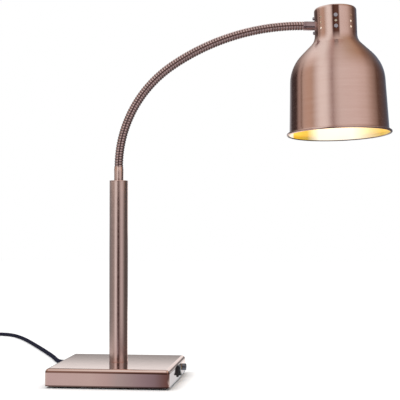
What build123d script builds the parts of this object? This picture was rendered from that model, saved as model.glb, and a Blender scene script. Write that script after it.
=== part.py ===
from build123d import *
import math
import os

# A flexible food heat lamp: weighted square base, round post, ribbed flexible neck, bell shade.
# Millimetres, +Z up. The origin is the centre of the bottom plate's underside, below the post.
# The neck leans towards +X, the front of the base faces -Y and the cord leaves at the back, +Y.

os.makedirs("parts", exist_ok=True)

# Base
BASE_WIDTH = 220.0
BASE_TOP = 30.0
COVER_LIP = -1.0
COVER_WALL = 1.5
COVER_CORNER = 5.0
COVER_EDGE = 7.0
PLATE_WIDTH = 216.4
PLATE_THICK = 1.5
PLATE_CORNER = 3.0
SCREW_X = 45.0
SCREW_Y = 87.0
M4 = 2.0
SINK = 4.0
SCREW_END = 14.0

# Feet
FOOT_AT = 87.0
FOOT_RADIUS = 9.5
FOOT_BOTTOM = -4.5
FOOT_RECESS = 0.5
STEM_RADIUS = 3.0
BARB_RADIUS = 4.2

# Ballast
BALLAST_WIDTH = 196.0
BALLAST_TOP = 19.5
NOTCH_X = 52.0
NOTCH_Y = (-22.0, 84.0)
GLAND_NOTCH_X = (-95.0, -69.0)
GLAND_NOTCH_Y = 58.0
COUNTERBORE = 13.0
COUNTERBORE_TOP = 16.0
GROOVE_HALF = 5.0
GROOVE_TOP = 8.5

# Tie pipe, post and lower ferrule
PIPE_RADIUS = 5.0
PIPE_BORE = 3.7
PIPE_BOTTOM = 9.5
PIPE_TOP = 354.0
PIPE_CLEAR = 0.2
TIE_NUT_FLATS = 17.0
TIE_NUT_Z = (10.0, 14.5)
WASHER_RADIUS = 11.0
SPACER_RADIUS = 22.0
POST_RADIUS = 17.0
POST_BORE = 15.5
POST_TOP = 360.0
CAP_TOP = 362.0
CAP_PLUG = 15.4
CAP_PLUG_DEEP = 12.0
FERRULE_FOOT = 8.6
FERRULE_HEAD = 8.2
FERRULE_BORE = 4.0
SPIGOT_BOTTOM = 355.0

# Neck: six sections on one arc and seven on a wider one, seven ribs to a section
NECK_START = 387.5
SECTION = 36.37
LOWER_SECTIONS = 6
SECTIONS = 13
LOWER_BEND = 222.0
UPPER_BEND = 410.5
RIBS = 7
CREST = 8.0
GROOVE = 7.1
NECK_BORE = 4.0
# One rib along its pitch: crest from 0.22 to 0.64, groove from 0.86 to the next rib's 0
RIB_SHAPE = ((0.0, GROOVE), (0.22, CREST), (0.64, CREST), (0.86, GROOVE))
GROOVE_BEFORE_PIVOT = 3.7
SOCKET_BEFORE_PIVOT = 5.0
BALL_RADIUS = 8.5
SOCKET_RADIUS = 8.8
LEAD_RADIUS = 2.1

# Head: the shade's own frame has its origin where the neck's line meets the shade's axis
NECK_TO_AXIS = 57.3
HEAD_TWIST = 2.6
SHADE_LEAN = 3.6
SHEET = 1.2
CROWN_RADIUS = 38.1
FERRULE_Z = CROWN_RADIUS * math.tan(math.radians(SHADE_LEAN))
CROWN_TOP = 33.0
CROWN_CORNER = 6.0
FLARE_TOP = -16.6
FLARE_RADIUS = 25.0
SLOPE_RUN = 18.68
SHOULDER_RADIUS = 72.0
SKIRT_ANGLE = 2.4
SKIRT_END = -187.0
BEAD_CENTRE = (91.9, -195.0)
BEAD_RADIUS = 2.3
VENT_RADIUS = 2.15
VENT_ROWS = (12.4, 2.3, -7.8)
VENT_COLUMNS = (0, 45, -45, 135, -135)
HOLDER_SCREW_Z = (11.7, -8.1)
HOLDER_SCREW_HEAD = 3.75
NECK_SCREW_Z = (FERRULE_Z + 13.3, FERRULE_Z - 13.3)
NECK_SCREW_HEAD = 3.0
BRACKET_THICK = 1.5
EAR_HALF = 7.0
EAR_BOTTOM = -13.2
BRIDGE_Z = (24.0, 25.5)
BRIDGE_HALF = 8.0
STRAP_HALF = 8.0
STRAP_HEIGHT = 18.0
STUD_NUT_FLATS = 14.0
STUD_NUT_X = (-34.4, -30.5)
SPIGOT_BORE = 3.0

# Lampholder and bulb, in the shade's frame
HOLDER_RADIUS = 22.0
HOLDER_BOTTOM = -26.0
HOLDER_BORE = 15.0
HOLDER_BORE_TOP = 2.0
HOLDER_STUB_TOP = 27.0
SHELL_BORE = 13.4
SHELL_WALL = 1.0
SHELL_BOTTOM = -24.0
CAP_RADIUS = 13.1
BULB_RADIUS = 62.5
BULB_NECK = 18.0
BULB_STEM = 12.6
BULB_THROAT = 40.0
BULB_SLOPE = 42.0
BULB_CONE = 50.0
BULB_SHOULDER = 24.0
BULB_WIDE_Z = -146.4
BULB_FACE_ANGLE = -75.0
GLASS = 1.0

# Switch: the rocker's profile is outwards and upwards from its pivot
SWITCH_PIVOT = (107.5, 0.0, 14.5)
SWITCH_HEIGHT = 19.2
SWITCH_WIDTH = 13.0
BEZEL_HEIGHT = 21.0
BEZEL_WIDTH = 15.0
BEZEL_THICK = 2.0
SWITCH_BACK = 90.0
POCKET_BACK = 100.0
POCKET_HEIGHT = 17.9
POCKET_WIDTH = 11.4
ROCKER_WIDTH = 10.8
ROCKER_TILT = 6.0
ROCKER_SHAPE = ((-4.0, 6.2), (0.0, 8.4), (4.2, 8.3), (8.3, 8.1), (7.0, 0.0))
TRUNNION_RADIUS = 1.5

# Dimmer
DIMMER_Y = 55.0
DIMMER_Z = 14.5
DIMMER_X = (92.0, 106.0)
DIMMER_HALF_WIDTH = 8.5
DIMMER_HALF_HEIGHT = 8.0
BUSHING_RADIUS = 3.5
BUSHING_END = 112.0
SHAFT_RADIUS = 2.0
SHAFT_CLEAR = 0.2
KNOB_RADIUS = 6.3
KNOB_X = (110.5, 118.3)
DIMMER_NUT_RADIUS = 4.7

# Cord: it lies on the surface that the feet stand on
CORD_RADIUS = 4.25
CORD_Z = FOOT_BOTTOM + CORD_RADIUS
GLAND_X = -84.0
GLAND_Z = 13.0
BOOT_BORE = 4.3
BOOT_END = 145.0
CORD_START = 143.0
TAIL_END = 86.0
BEND_SHARE = 0.45
CORD_ROUTE = (
    (GLAND_X, CORD_START, GLAND_Z),
    (GLAND_X, 167.0, GLAND_Z),
    (-94.6, 189.7, 9.0),
    (-116.1, 205.9, 4.0),
    (-148.8, 215.3, 0.5),
    (-172.4, 232.6, CORD_Z),
    (-192.5, 282.0, CORD_Z),
    (-236.0, 378.0, CORD_Z),
    (-282.0, 476.0, CORD_Z),
    (-329.5, 575.0, CORD_Z),
    (-358.0, 630.0, CORD_Z),
    (-380.0, 668.0, CORD_Z),
    (-401.0, 698.0, CORD_Z),
    (-419.0, 716.5, CORD_Z),
    (-437.0, 725.0, CORD_Z),
    (-457.0, 728.0, CORD_Z),
    (-490.0, 724.0, CORD_Z),
    (-519.5, 724.0, CORD_Z),
)

# Coil: three turns, in on the lower layer and out on the upper one
COIL_CENTRE = (-528.0, 776.0)
COIL_RADIUS = 52.0
COIL_TURNS = 3.0
COIL_PITCH = 9.4
COIL_CLIMB = 9.0
TAIL_ROUTE = (
    (-536.5, 724.0, CORD_Z + COIL_CLIMB),
    (-560.0, 724.0, CORD_Z + COIL_CLIMB),
    (-590.0, 727.0, 0.5),
    (-610.0, 735.0, CORD_Z),
    (-630.0, 750.0, 4.0),
    (-637.0, 773.0, 14.5),
    (-637.0, 793.0, 14.5),
)
PLUG_RADIUS = 19.0
PLUG_BOOT = 26.0
PLUG_LENGTH = 24.0
PIN_RADIUS = 2.4
PIN_LENGTH = 19.0
PIN_SPACING = 19.0


def save(name, *shapes):
    """Write the solids of one node."""
    solids = [solid for shape in shapes for solid in shape.solids()]
    export_step(Compound(solids), f"parts/{name}.step")


def block(x0, x1, y0, y1, z0, z1):
    """A box between two corners."""
    return Pos((x0 + x1) / 2, (y0 + y1) / 2, (z0 + z1) / 2) * Box(x1 - x0, y1 - y0, z1 - z0)


def rod(radius, start, end):
    """A round bar from one point to another."""
    axis = Vector(end) - Vector(start)
    bottom = (Align.CENTER, Align.CENTER, Align.MIN)
    return Plane(Vector(start), z_dir=axis) * Cylinder(radius, axis.length, align=bottom)


def ring(outer, inner, start, end):
    """A round tube from one point to another."""
    return rod(outer, start, end) - rod(inner, start, end)


def post_ring(outer, inner, z0, z1):
    """A ring about the post's axis."""
    return ring(outer, inner, (0, 0, z0), (0, 0, z1))


def slab(width, corner, z0, z1):
    """A square slab with rounded corners, about the post's axis."""
    return extrude(Pos(0, 0, z0) * RectangleRounded(width, width, corner), z1 - z0)


def hexagon(flats, z0, z1):
    """A hexagonal prism about the Z axis."""
    return extrude(Pos(0, 0, z0) * RegularPolygon(flats / 2, 6, major_radius=False), z1 - z0)


def four(x, y):
    """The four corners of a rectangle about the post's axis."""
    return [(x, y), (-x, y), (-x, -y), (x, -y)]


def bend_radii(route):
    """The largest arc that each corner of a route allows."""
    radii = []
    for before, corner, after in zip(route, route[1:], route[2:]):
        arriving = Vector(corner) - Vector(before)
        leaving = Vector(after) - Vector(corner)
        half_turn = math.radians(arriving.get_angle(leaving) / 2)
        shorter = min(arriving.length, leaving.length)
        radii.append(BEND_SHARE * shorter / math.tan(half_turn))
    return radii


def along(route, radius, radii=None):
    """A round wire or cord along straight runs joined by arcs."""
    points = [Vector(point) for point in route]
    path = FilletPolyline(*points, radius=radii or bend_radii(route))
    start = Plane(points[0], z_dir=points[1] - points[0])
    return sweep(start * Circle(radius), path=path), path.length


def report_cord(name, solid, length, radii=()):
    """Print a cord's length, its volume beside section times length, and its radii."""
    expected = math.pi * CORD_RADIUS ** 2 * length
    print(name, "length", round(length, 1), "volume", round(solid.volume), "of", round(expected))
    print(name, "radii", [round(radius) for radius in radii])


def polar(centre, radius, degrees):
    """A point of a circle in a flat outline."""
    angle = math.radians(degrees)
    return (centre[0] + radius * math.cos(angle), centre[1] + radius * math.sin(angle))


def arc(centre, radius, start, end):
    """An arc of a flat outline, by its centre and two angles."""
    middle = (start + end) / 2
    return ThreePointArc(*[polar(centre, radius, angle) for angle in (start, middle, end)])


def turned(edges):
    """The solid that an outline in radius and height sweeps about the Z axis."""
    upright = [Plane.XZ * edge for edge in edges]
    return revolve(make_face(upright), Axis.Z)


def outline(*points):
    """Straight edges through the points, closed."""
    return [Line(a, b) for a, b in zip(points, points[1:] + points[:1])]


# Base


def base_cover():
    """The polished tray, upside down."""
    outer = slab(BASE_WIDTH, COVER_CORNER, COVER_LIP, BASE_TOP)
    outer = fillet(outer.faces().sort_by(Axis.Z)[-1].edges(), COVER_EDGE)
    inner_width = BASE_WIDTH - 2 * COVER_WALL
    ceiling = BASE_TOP - COVER_WALL
    inner = slab(inner_width, COVER_CORNER - COVER_WALL, COVER_LIP, ceiling)
    inner = fillet(inner.faces().sort_by(Axis.Z)[-1].edges(), COVER_EDGE - COVER_WALL)
    side = BASE_WIDTH / 2
    cover = outer - inner
    cover -= rod(PIPE_RADIUS + PIPE_CLEAR, (0, 0, ceiling - 1), (0, 0, BASE_TOP + 1))
    half_y = SWITCH_WIDTH / 2 + 0.1
    half_z = SWITCH_HEIGHT / 2 + 0.1
    x, y, z = SWITCH_PIVOT
    cover -= block(side - 5, side + 1, y - half_y, y + half_y, z - half_z, z + half_z)
    cover -= rod(BUSHING_RADIUS + 0.1, (side - 5, DIMMER_Y, DIMMER_Z), (side + 1, DIMMER_Y, DIMMER_Z))
    cover -= rod(5.5, (GLAND_X, side - 5, GLAND_Z), (GLAND_X, side + 1, GLAND_Z))
    return cover


def screw_cone(depth):
    """A countersink, flush with the underside and ending at the screw's shank."""
    bottom = (Align.CENTER, Align.CENTER, Align.MIN)
    return Cone(SINK, SINK - depth, depth, align=bottom)


def bottom_plate():
    """The sheet that closes the base, with recesses for the feet."""
    plate = slab(PLATE_WIDTH, PLATE_CORNER, 0, PLATE_THICK)
    for x, y in four(FOOT_AT, FOOT_AT):
        plate -= rod(FOOT_RADIUS + 0.2, (x, y, 0), (x, y, FOOT_RECESS))
        plate -= rod(STEM_RADIUS + 0.1, (x, y, 0), (x, y, PLATE_THICK))
    for x, y in four(SCREW_X, SCREW_Y):
        plate -= Pos(x, y, 0) * screw_cone(PLATE_THICK)
    return plate


def bottom_plate_screws():
    """Four countersunk screws, up into the ballast."""
    head = screw_cone(SINK - M4)
    screw = head + rod(M4, (0, 0, SINK - M4), (0, 0, SCREW_END))
    screw -= block(-SINK, SINK, -0.5, 0.5, 0, 0.9)
    return [Pos(x, y, 0) * screw for x, y in four(SCREW_X, SCREW_Y)]


def rubber_feet():
    """Four round feet, pushed through the bottom plate and held by a barb."""
    foot = rod(FOOT_RADIUS, (0, 0, FOOT_BOTTOM), (0, 0, FOOT_RECESS))
    foot = fillet(foot.faces().sort_by(Axis.Z)[0].edges(), 1.0)
    foot += rod(STEM_RADIUS, (0, 0, FOOT_RECESS), (0, 0, PLATE_THICK))
    barb = Cone(BARB_RADIUS, STEM_RADIUS, 2.5, align=(Align.CENTER, Align.CENTER, Align.MIN))
    foot += Pos(0, 0, PLATE_THICK) * barb
    return [Pos(x, y, 0) * foot for x, y in four(FOOT_AT, FOOT_AT)]


def ballast_plate():
    """The iron plate that keeps the lamp standing, notched for the wiring."""
    half = BALLAST_WIDTH / 2
    plate = slab(BALLAST_WIDTH, COVER_CORNER, PLATE_THICK, BALLAST_TOP)
    plate -= block(NOTCH_X, half + 1, NOTCH_Y[0], NOTCH_Y[1], 0, BALLAST_TOP + 1)
    plate -= block(GLAND_NOTCH_X[0], GLAND_NOTCH_X[1], GLAND_NOTCH_Y, half + 1, 0, BALLAST_TOP + 1)
    plate -= block(0, NOTCH_X, -GROOVE_HALF, GROOVE_HALF, 0, GROOVE_TOP)
    plate -= rod(COUNTERBORE, (0, 0, 0), (0, 0, COUNTERBORE_TOP))
    plate -= rod(PIPE_RADIUS + PIPE_CLEAR, (0, 0, 0), (0, 0, BALLAST_TOP + 1))
    for x, y in four(FOOT_AT, FOOT_AT):
        plate -= rod(5.5, (x, y, 0), (x, y, BALLAST_TOP + 1))
    for x, y in four(SCREW_X, SCREW_Y):
        plate -= Pos(x, y, 0) * screw_cone(SINK - M4)
        plate -= rod(M4, (x, y, 0), (x, y, SCREW_END + 1))
    return plate


def tie_nut():
    """The nut under the ballast that clamps the post."""
    return hexagon(TIE_NUT_FLATS, *TIE_NUT_Z) - rod(PIPE_RADIUS, (0, 0, 0), (0, 0, 20))


def post_cap():
    """The cap on the post: a flange over the tube's end and a plug in its bore."""
    cap = rod(POST_RADIUS, (0, 0, POST_TOP), (0, 0, CAP_TOP))
    cap = fillet(cap.faces().sort_by(Axis.Z)[-1].edges(), 0.8)
    cap += rod(CAP_PLUG, (0, 0, POST_TOP - CAP_PLUG_DEEP), (0, 0, POST_TOP))
    return cap - rod(PIPE_RADIUS, (0, 0, POST_TOP - CAP_PLUG_DEEP), (0, 0, CAP_TOP))


def lower_ferrule():
    """The turned sleeve between the cap and the neck, with its spigot in the cap."""
    sleeve = turned(outline(
        (FERRULE_BORE, SPIGOT_BOTTOM),
        (PIPE_RADIUS, SPIGOT_BOTTOM),
        (PIPE_RADIUS, CAP_TOP),
        (FERRULE_FOOT, CAP_TOP),
        (FERRULE_FOOT, CAP_TOP + 20.0),
        (FERRULE_HEAD, CAP_TOP + 22.0),
        (FERRULE_HEAD, NECK_START),
        (FERRULE_BORE, NECK_START),
    ))
    return sleeve


# Wiring inside the base


BLOCK_X = (56.0, 72.0)
BLOCK_Y = (-16.0, 18.0)
BLOCK_TOP = 15.5
POLES = (-9.5, 1.0, 11.5)
WIRE_RADIUS = 1.2


def terminal_block():
    """Three poles, each with a screw hole from above."""
    body = block(*BLOCK_X, *BLOCK_Y, PLATE_THICK, BLOCK_TOP)
    for y in POLES:
        for x in (60.0, 68.0):
            body -= rod(1.8, (x, y, 12.5), (x, y, BLOCK_TOP + 1))
    return body


def mains_wires():
    """Live, neutral and earth, from the cord's tail over the ballast to the terminal block."""
    wires = []
    for place, y in enumerate(POLES):
        x = GLAND_X + 2.6 * (1 - place)
        lane = 38.0 - 3.0 * (1 - place)
        route = (
            (x, TAIL_END, GLAND_Z),
            (x, TAIL_END - 11.0, GLAND_Z),
            (x, GLAND_NOTCH_Y + 6.0, 24.0),
            (x + 14.0, lane, 24.0),
            (12.0, lane - 3.0, 24.0),
            (40.0, y + 3.0, 24.0),
            (64.0, y, 24.0),
            (64.0, y, BLOCK_TOP),
        )
        wires.append(along(route, WIRE_RADIUS)[0])
    return wires


def control_wires():
    """Two wires from the terminal block to the switch and two to the dimmer."""
    start = BLOCK_X[1]
    routes = (
        ((start, -9.5, 8.5), (78.0, -9.5, 8.5), (80.0, -3.0, 9.5), (84.0, -3.0, 9.5)),
        ((start, 1.0, 8.5), (77.0, 1.0, 8.5), (80.0, 3.0, 19.5), (84.0, 3.0, 19.5)),
        ((start, 9.8, 8.5), (80.0, 9.8, 8.5), (86.0, 51.0, 10.5), (DIMMER_X[0], 51.0, 10.5)),
        ((start, 13.2, 8.5), (76.0, 13.2, 8.5), (84.0, 58.0, 10.5), (DIMMER_X[0], 58.0, 10.5)),
    )
    return [along(route, WIRE_RADIUS)[0] for route in routes]


def strain_relief():
    """The rubber boot at the back: a flange inside, a neck in the hole and a grooved tail."""
    side = BASE_WIDTH / 2
    inside = side - COVER_WALL
    points = [(BOOT_BORE, inside - 2.0), (9.0, inside - 2.0), (9.0, inside), (5.5, inside), (5.5, side)]
    points += [(8.0, side), (8.0, side + 4.0)]
    for groove in range(6):
        start = side + 5.0 + 5.0 * groove
        outer = 7.4 - 0.32 * groove
        points += [(outer, start), (outer, start + 3.0), (outer - 1.0, start + 3.5), (outer - 1.2, start + 4.5)]
    points += [(5.5, BOOT_END), (BOOT_BORE, BOOT_END)]
    boot = turned(outline(*points))
    return Pos(GLAND_X, 0, GLAND_Z) * Rot(-90, 0, 0) * boot


def cord_clamp():
    """A saddle on the bottom plate that grips the cord's tail."""
    saddle = block(GLAND_X - 10.5, GLAND_X + 10.5, 93.0, 101.0, PLATE_THICK, GLAND_Z + 7.0)
    return saddle - rod(CORD_RADIUS, (GLAND_X, 92.0, GLAND_Z), (GLAND_X, 102.0, GLAND_Z))


# Switch and dimmer


def switch_housing():
    """The switch's box, with the bezel that rests on the cover's side."""
    x, y, z = SWITCH_PIVOT
    side = BASE_WIDTH / 2
    front = side + BEZEL_THICK
    body = block(SWITCH_BACK, side, y - SWITCH_WIDTH / 2, y + SWITCH_WIDTH / 2,
                 z - SWITCH_HEIGHT / 2, z + SWITCH_HEIGHT / 2)
    bezel = block(side, front, y - BEZEL_WIDTH / 2, y + BEZEL_WIDTH / 2,
                  z - BEZEL_HEIGHT / 2, z + BEZEL_HEIGHT / 2)
    bezel = fillet(bezel.faces().sort_by(Axis.X)[-1].edges(), 0.7)
    pocket = block(POCKET_BACK, front + 1, y - POCKET_WIDTH / 2, y + POCKET_WIDTH / 2,
                   z - POCKET_HEIGHT / 2, z + POCKET_HEIGHT / 2)
    trunnion_hole = rod(TRUNNION_RADIUS + 0.05, (x, -SWITCH_WIDTH, z), (x, SWITCH_WIDTH, z))
    return body + bezel - pocket - trunnion_hole


def switch_rocker():
    """The rocker and its trunnions, with its top pressed in."""
    upper = list(ROCKER_SHAPE)
    lower = [(out, -up) for out, up in reversed(ROCKER_SHAPE[:-1])]
    face = make_face([Plane.XZ * edge for edge in outline(*upper, *lower)])
    rocker = extrude(face, ROCKER_WIDTH / 2, both=True)
    end = POCKET_WIDTH / 2 + 0.6
    rocker += rod(TRUNNION_RADIUS, (0, -end, 0), (0, end, 0))
    return Pos(*SWITCH_PIVOT) * Rot(0, -ROCKER_TILT, 0) * rocker


def switch_terminals():
    """Two flat tabs at the back of the switch."""
    x, y, z = SWITCH_PIVOT
    tabs = [(-3.0, -5.0), (3.0, 5.0)]
    return [block(84.0, SWITCH_BACK, a - 2.4, a + 2.4, z + b - 0.4, z + b + 0.4) for a, b in tabs]


def dimmer_body():
    """The potentiometer's box, with its threaded bushing through the cover."""
    half = DIMMER_HALF_HEIGHT
    body = block(*DIMMER_X, DIMMER_Y - DIMMER_HALF_WIDTH, DIMMER_Y + DIMMER_HALF_WIDTH,
                 DIMMER_Z - half, DIMMER_Z + half)
    inside = BASE_WIDTH / 2 - COVER_WALL
    body += rod(BUSHING_RADIUS + 2.0, (DIMMER_X[1], DIMMER_Y, DIMMER_Z), (inside, DIMMER_Y, DIMMER_Z))
    body += rod(BUSHING_RADIUS, (inside, DIMMER_Y, DIMMER_Z), (BUSHING_END, DIMMER_Y, DIMMER_Z))
    bore = SHAFT_RADIUS + SHAFT_CLEAR
    return body - rod(bore, (DIMMER_X[1] - 8.0, DIMMER_Y, DIMMER_Z), (BUSHING_END, DIMMER_Y, DIMMER_Z))


def dimmer_nut():
    """The round nut that clamps the bushing on the cover."""
    side = BASE_WIDTH / 2
    start = (side, DIMMER_Y, DIMMER_Z)
    return ring(DIMMER_NUT_RADIUS, BUSHING_RADIUS, start, (side + 1.4, DIMMER_Y, DIMMER_Z))


def dimmer_knob():
    """The turned knob, hollow at the back over the nut, with a pointer line."""
    back, front = KNOB_X
    knob = rod(KNOB_RADIUS, (back, DIMMER_Y, DIMMER_Z), (front, DIMMER_Y, DIMMER_Z))
    knob = fillet(knob.faces().sort_by(Axis.X)[-1].edges(), 1.2)
    knob -= rod(5.1, (back, DIMMER_Y, DIMMER_Z), (BUSHING_END + 0.5, DIMMER_Y, DIMMER_Z))
    knob -= rod(SHAFT_RADIUS, (back, DIMMER_Y, DIMMER_Z), (front - 2.3, DIMMER_Y, DIMMER_Z))
    pointer = block(front - 0.6, front + 1, DIMMER_Y - 0.5, DIMMER_Y + 0.5, DIMMER_Z + 1.0, DIMMER_Z + 7.0)
    return knob - pointer


def dimmer_shaft():
    """The shaft from inside the dimmer to the knob's bore."""
    start = DIMMER_X[1] - 7.5
    return rod(SHAFT_RADIUS, (start, DIMMER_Y, DIMMER_Z), (KNOB_X[1] - 2.3, DIMMER_Y, DIMMER_Z))


# Neck


def neck_at(distance):
    """The neck's centre and its angle from upright, at a distance along it."""
    joint = LOWER_SECTIONS * SECTION
    lower = min(distance, joint)
    angle = lower / LOWER_BEND
    x = LOWER_BEND * (1 - math.cos(angle))
    z = NECK_START + LOWER_BEND * math.sin(angle)
    if distance > joint:
        end = angle + (distance - joint) / UPPER_BEND
        x += UPPER_BEND * (math.cos(angle) - math.cos(end))
        z += UPPER_BEND * (math.sin(end) - math.sin(angle))
        angle = end
    return (x, 0.0, z), angle


def neck_plane(distance):
    """The plane square to the neck, its X axis steady along +Y."""
    centre, angle = neck_at(distance)
    return Plane(Vector(centre), x_dir=(0, 1, 0), z_dir=(math.sin(angle), 0, math.cos(angle)))


def neck_line(start, end):
    """The neck's centreline between two distances, as one or two arcs."""
    joint = LOWER_SECTIONS * SECTION
    stops = [start, joint, end] if start < joint < end else [start, end]
    arcs = []
    for a, b in zip(stops, stops[1:]):
        arcs.append(ThreePointArc(*[neck_at(place)[0] for place in (a, (a + b) / 2, b)]))
    return Wire(arcs)


def neck_core(radius, start, end):
    """A round bar along the neck's centreline."""
    return sweep(neck_plane(start) * Circle(radius), path=neck_line(start, end))


def rib_radius(distance):
    """The neck's outer radius at a distance along it."""
    pitch = SECTION / RIBS
    phase = ((distance + GROOVE_BEFORE_PIVOT) / pitch) % 1.0
    marks = RIB_SHAPE + ((1.0, GROOVE),)
    for (a, low), (b, high) in zip(marks, marks[1:]):
        if phase <= b:
            return low + (high - low) * (phase - a) / (b - a)
    return GROOVE


def rib_circles(start, end):
    """Circles square to the neck, four to a rib, between two distances."""
    pitch = SECTION / RIBS
    places = [start]
    first = math.floor((start + GROOVE_BEFORE_PIVOT) / pitch)
    for rib in range(first, first + RIBS + 2):
        for phase, _ in RIB_SHAPE:
            place = (rib + phase) * pitch - GROOVE_BEFORE_PIVOT
            if start + 0.1 < place < end - 0.1:
                places.append(place)
    places.append(end)
    return [neck_plane(place) * Circle(rib_radius(place)) for place in places]


def neck_ball(distance, radius):
    """A ball on the neck's line, with its poles to the sides."""
    return Pos(Vector(neck_at(distance)[0])) * Rot(90, 0, 0) * Sphere(radius)


def neck_section(number):
    """One ribbed section: a ball end at the lower pivot and a socket below the upper one."""
    lower = (number - 1) * SECTION
    upper = number * SECTION
    first = number == 1
    last = number == SECTIONS
    start = lower if first else lower - GROOVE_BEFORE_PIVOT
    end = upper if last else upper - SOCKET_BEFORE_PIVOT
    section = loft(rib_circles(start, end), ruled=True)
    bore_start = start
    if not first:
        plane = neck_plane(start)
        stub = extrude(plane * Circle(GROOVE), -BALL_RADIUS)
        section += stub & neck_ball(lower, BALL_RADIUS)
        bore_start = lower - BALL_RADIUS - 1.0
    if not last:
        section -= neck_ball(upper, SOCKET_RADIUS)
    bore = neck_core(NECK_BORE, bore_start, upper)
    return section - bore


# Head, in the shade's own frame


NECK_END, NECK_END_ANGLE = neck_at(SECTIONS * SECTION)
HEAD_TILT = math.degrees(NECK_END_ANGLE) - 90.0 - SHADE_LEAN
HEAD_CENTRE = (
    NECK_END[0] + NECK_TO_AXIS * math.sin(NECK_END_ANGLE),
    0.0,
    NECK_END[2] + NECK_TO_AXIS * math.cos(NECK_END_ANGLE),
)
HEAD = Pos(*HEAD_CENTRE) * Rot(0, HEAD_TILT, 0) * Rot(-HEAD_TWIST, 0, 0)
# The upper ferrule's own frame in the shade's: its X axis goes on along the neck's end
FERRULE = Rot(HEAD_TWIST, 0, 0) * Rot(0, SHADE_LEAN, 0)


def shade_run(inset):
    """One face of the shade's wall, from the axis down to the end of the skirt."""
    corner = (CROWN_RADIUS - CROWN_CORNER, CROWN_TOP - CROWN_CORNER)
    flare = (CROWN_RADIUS + FLARE_RADIUS, FLARE_TOP)
    slope_top = polar(flare, FLARE_RADIUS, 225)
    slope_end = (slope_top[0] + SLOPE_RUN, slope_top[1] - SLOPE_RUN)
    shoulder = polar(slope_end, -SHOULDER_RADIUS, 45)
    edges = [
        Line((0, CROWN_TOP - inset), polar(corner, CROWN_CORNER - inset, 90)),
        arc(corner, CROWN_CORNER - inset, 90, 0),
        Line(polar(corner, CROWN_CORNER - inset, 0), polar(flare, FLARE_RADIUS + inset, 180)),
        arc(flare, FLARE_RADIUS + inset, 180, 225),
        Line(polar(flare, FLARE_RADIUS + inset, 225), polar(shoulder, SHOULDER_RADIUS - inset, 45)),
        arc(shoulder, SHOULDER_RADIUS - inset, 45, SKIRT_ANGLE),
    ]
    skirt_top = polar(shoulder, SHOULDER_RADIUS - inset, SKIRT_ANGLE)
    drop = skirt_top[1] - SKIRT_END
    skirt_end = (skirt_top[0] + drop * math.tan(math.radians(SKIRT_ANGLE)), SKIRT_END)
    edges.append(Line(skirt_top, skirt_end))
    return edges, skirt_end


def crown_hole(radius, azimuth, z):
    """A hole through the crown's wall."""
    x, y = polar((0, 0), 1, azimuth)
    return rod(radius, (25 * x, 25 * y, z), (45 * x, 45 * y, z))


def ferrule_rod(radius, start, end):
    """A round bar on the upper ferrule's axis, which leans a little to the shade."""
    return FERRULE * rod(radius, (start, 0, 0), (end, 0, 0))


def ferrule_hole():
    """The hole for the ferrule's spigot, through the crown's wall and the strip behind it."""
    return ferrule_rod(PIPE_RADIUS + PIPE_CLEAR, -CROWN_RADIUS - 4, -CROWN_RADIUS + 8)


def shade():
    """The bell: crown, flare, shoulder, skirt and rolled rim, with its vents."""
    outer, outer_end = shade_run(0)
    inner, inner_end = shade_run(SHEET)
    bead_top = polar(BEAD_CENTRE, BEAD_RADIUS, 135)
    bead_side = polar(BEAD_CENTRE, BEAD_RADIUS, 0)
    bead_inner = polar(BEAD_CENTRE, BEAD_RADIUS, 180)
    edges = outer + inner + [
        Line((0, CROWN_TOP), (0, CROWN_TOP - SHEET)),
        ThreePointArc(outer_end, (outer_end[0] + 0.5, -190.6), bead_top),
        ThreePointArc(bead_top, polar(BEAD_CENTRE, BEAD_RADIUS, 67.5), bead_side),
        ThreePointArc(bead_side, polar(BEAD_CENTRE, BEAD_RADIUS, -90), bead_inner),
        ThreePointArc(bead_inner, (inner_end[0] + 0.7, -191.4), inner_end),
    ]
    bell = turned(edges)
    for azimuth in VENT_COLUMNS:
        for z in VENT_ROWS:
            bell -= crown_hole(VENT_RADIUS, azimuth, z)
    for azimuth in (90, -90):
        bell -= crown_hole(VENT_RADIUS, azimuth, VENT_ROWS[1])
        for z in HOLDER_SCREW_Z:
            bell -= crown_hole(M4 + 0.1, azimuth, z)
    bell -= ferrule_hole()
    for z in NECK_SCREW_Z:
        bell -= crown_hole(M4 * 0.75 + 0.1, 180, z)
    return bell


def pan_screw(head, thick, shank, length):
    """A slotted pan-head screw along +Z, its head's underside at the origin."""
    body = rod(head, (0, 0, 0), (0, 0, thick))
    body = fillet(body.faces().sort_by(Axis.Z)[-1].edges(), thick * 0.45)
    body -= block(-0.55, 0.55, -head, head, thick - 1.0, thick + 1)
    return body + rod(shank, (0, 0, -length), (0, 0, 0))


def crown_screws(azimuths, rows, head, thick, shank, length):
    """Screws through the crown, their slots upright."""
    screws = []
    for azimuth in azimuths:
        x, y = polar((0, 0), 1, azimuth)
        for z in rows:
            seat = Plane((CROWN_RADIUS * x, CROWN_RADIUS * y, z), x_dir=(-y, x, 0), z_dir=(x, y, 0))
            screws.append(seat * pan_screw(head, thick, shank, length))
    return screws


def curved_plate(azimuth, half_width, z0, z1):
    """A strip that lies against the inside of the crown."""
    inside = CROWN_RADIUS - SHEET
    strip = post_ring(inside, inside - BRACKET_THICK, z0, z1)
    return strip & (Rot(0, 0, azimuth) * block(20, 45, -half_width, half_width, z0, z1))


def neck_bracket():
    """The curved strip behind the ferrule's hole."""
    strip = curved_plate(180, STRAP_HALF, FERRULE_Z - STRAP_HEIGHT, FERRULE_Z + STRAP_HEIGHT)
    strip -= ferrule_hole()
    for z in NECK_SCREW_Z:
        strip -= crown_hole(M4 * 0.75, 180, z)
    return strip


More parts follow.
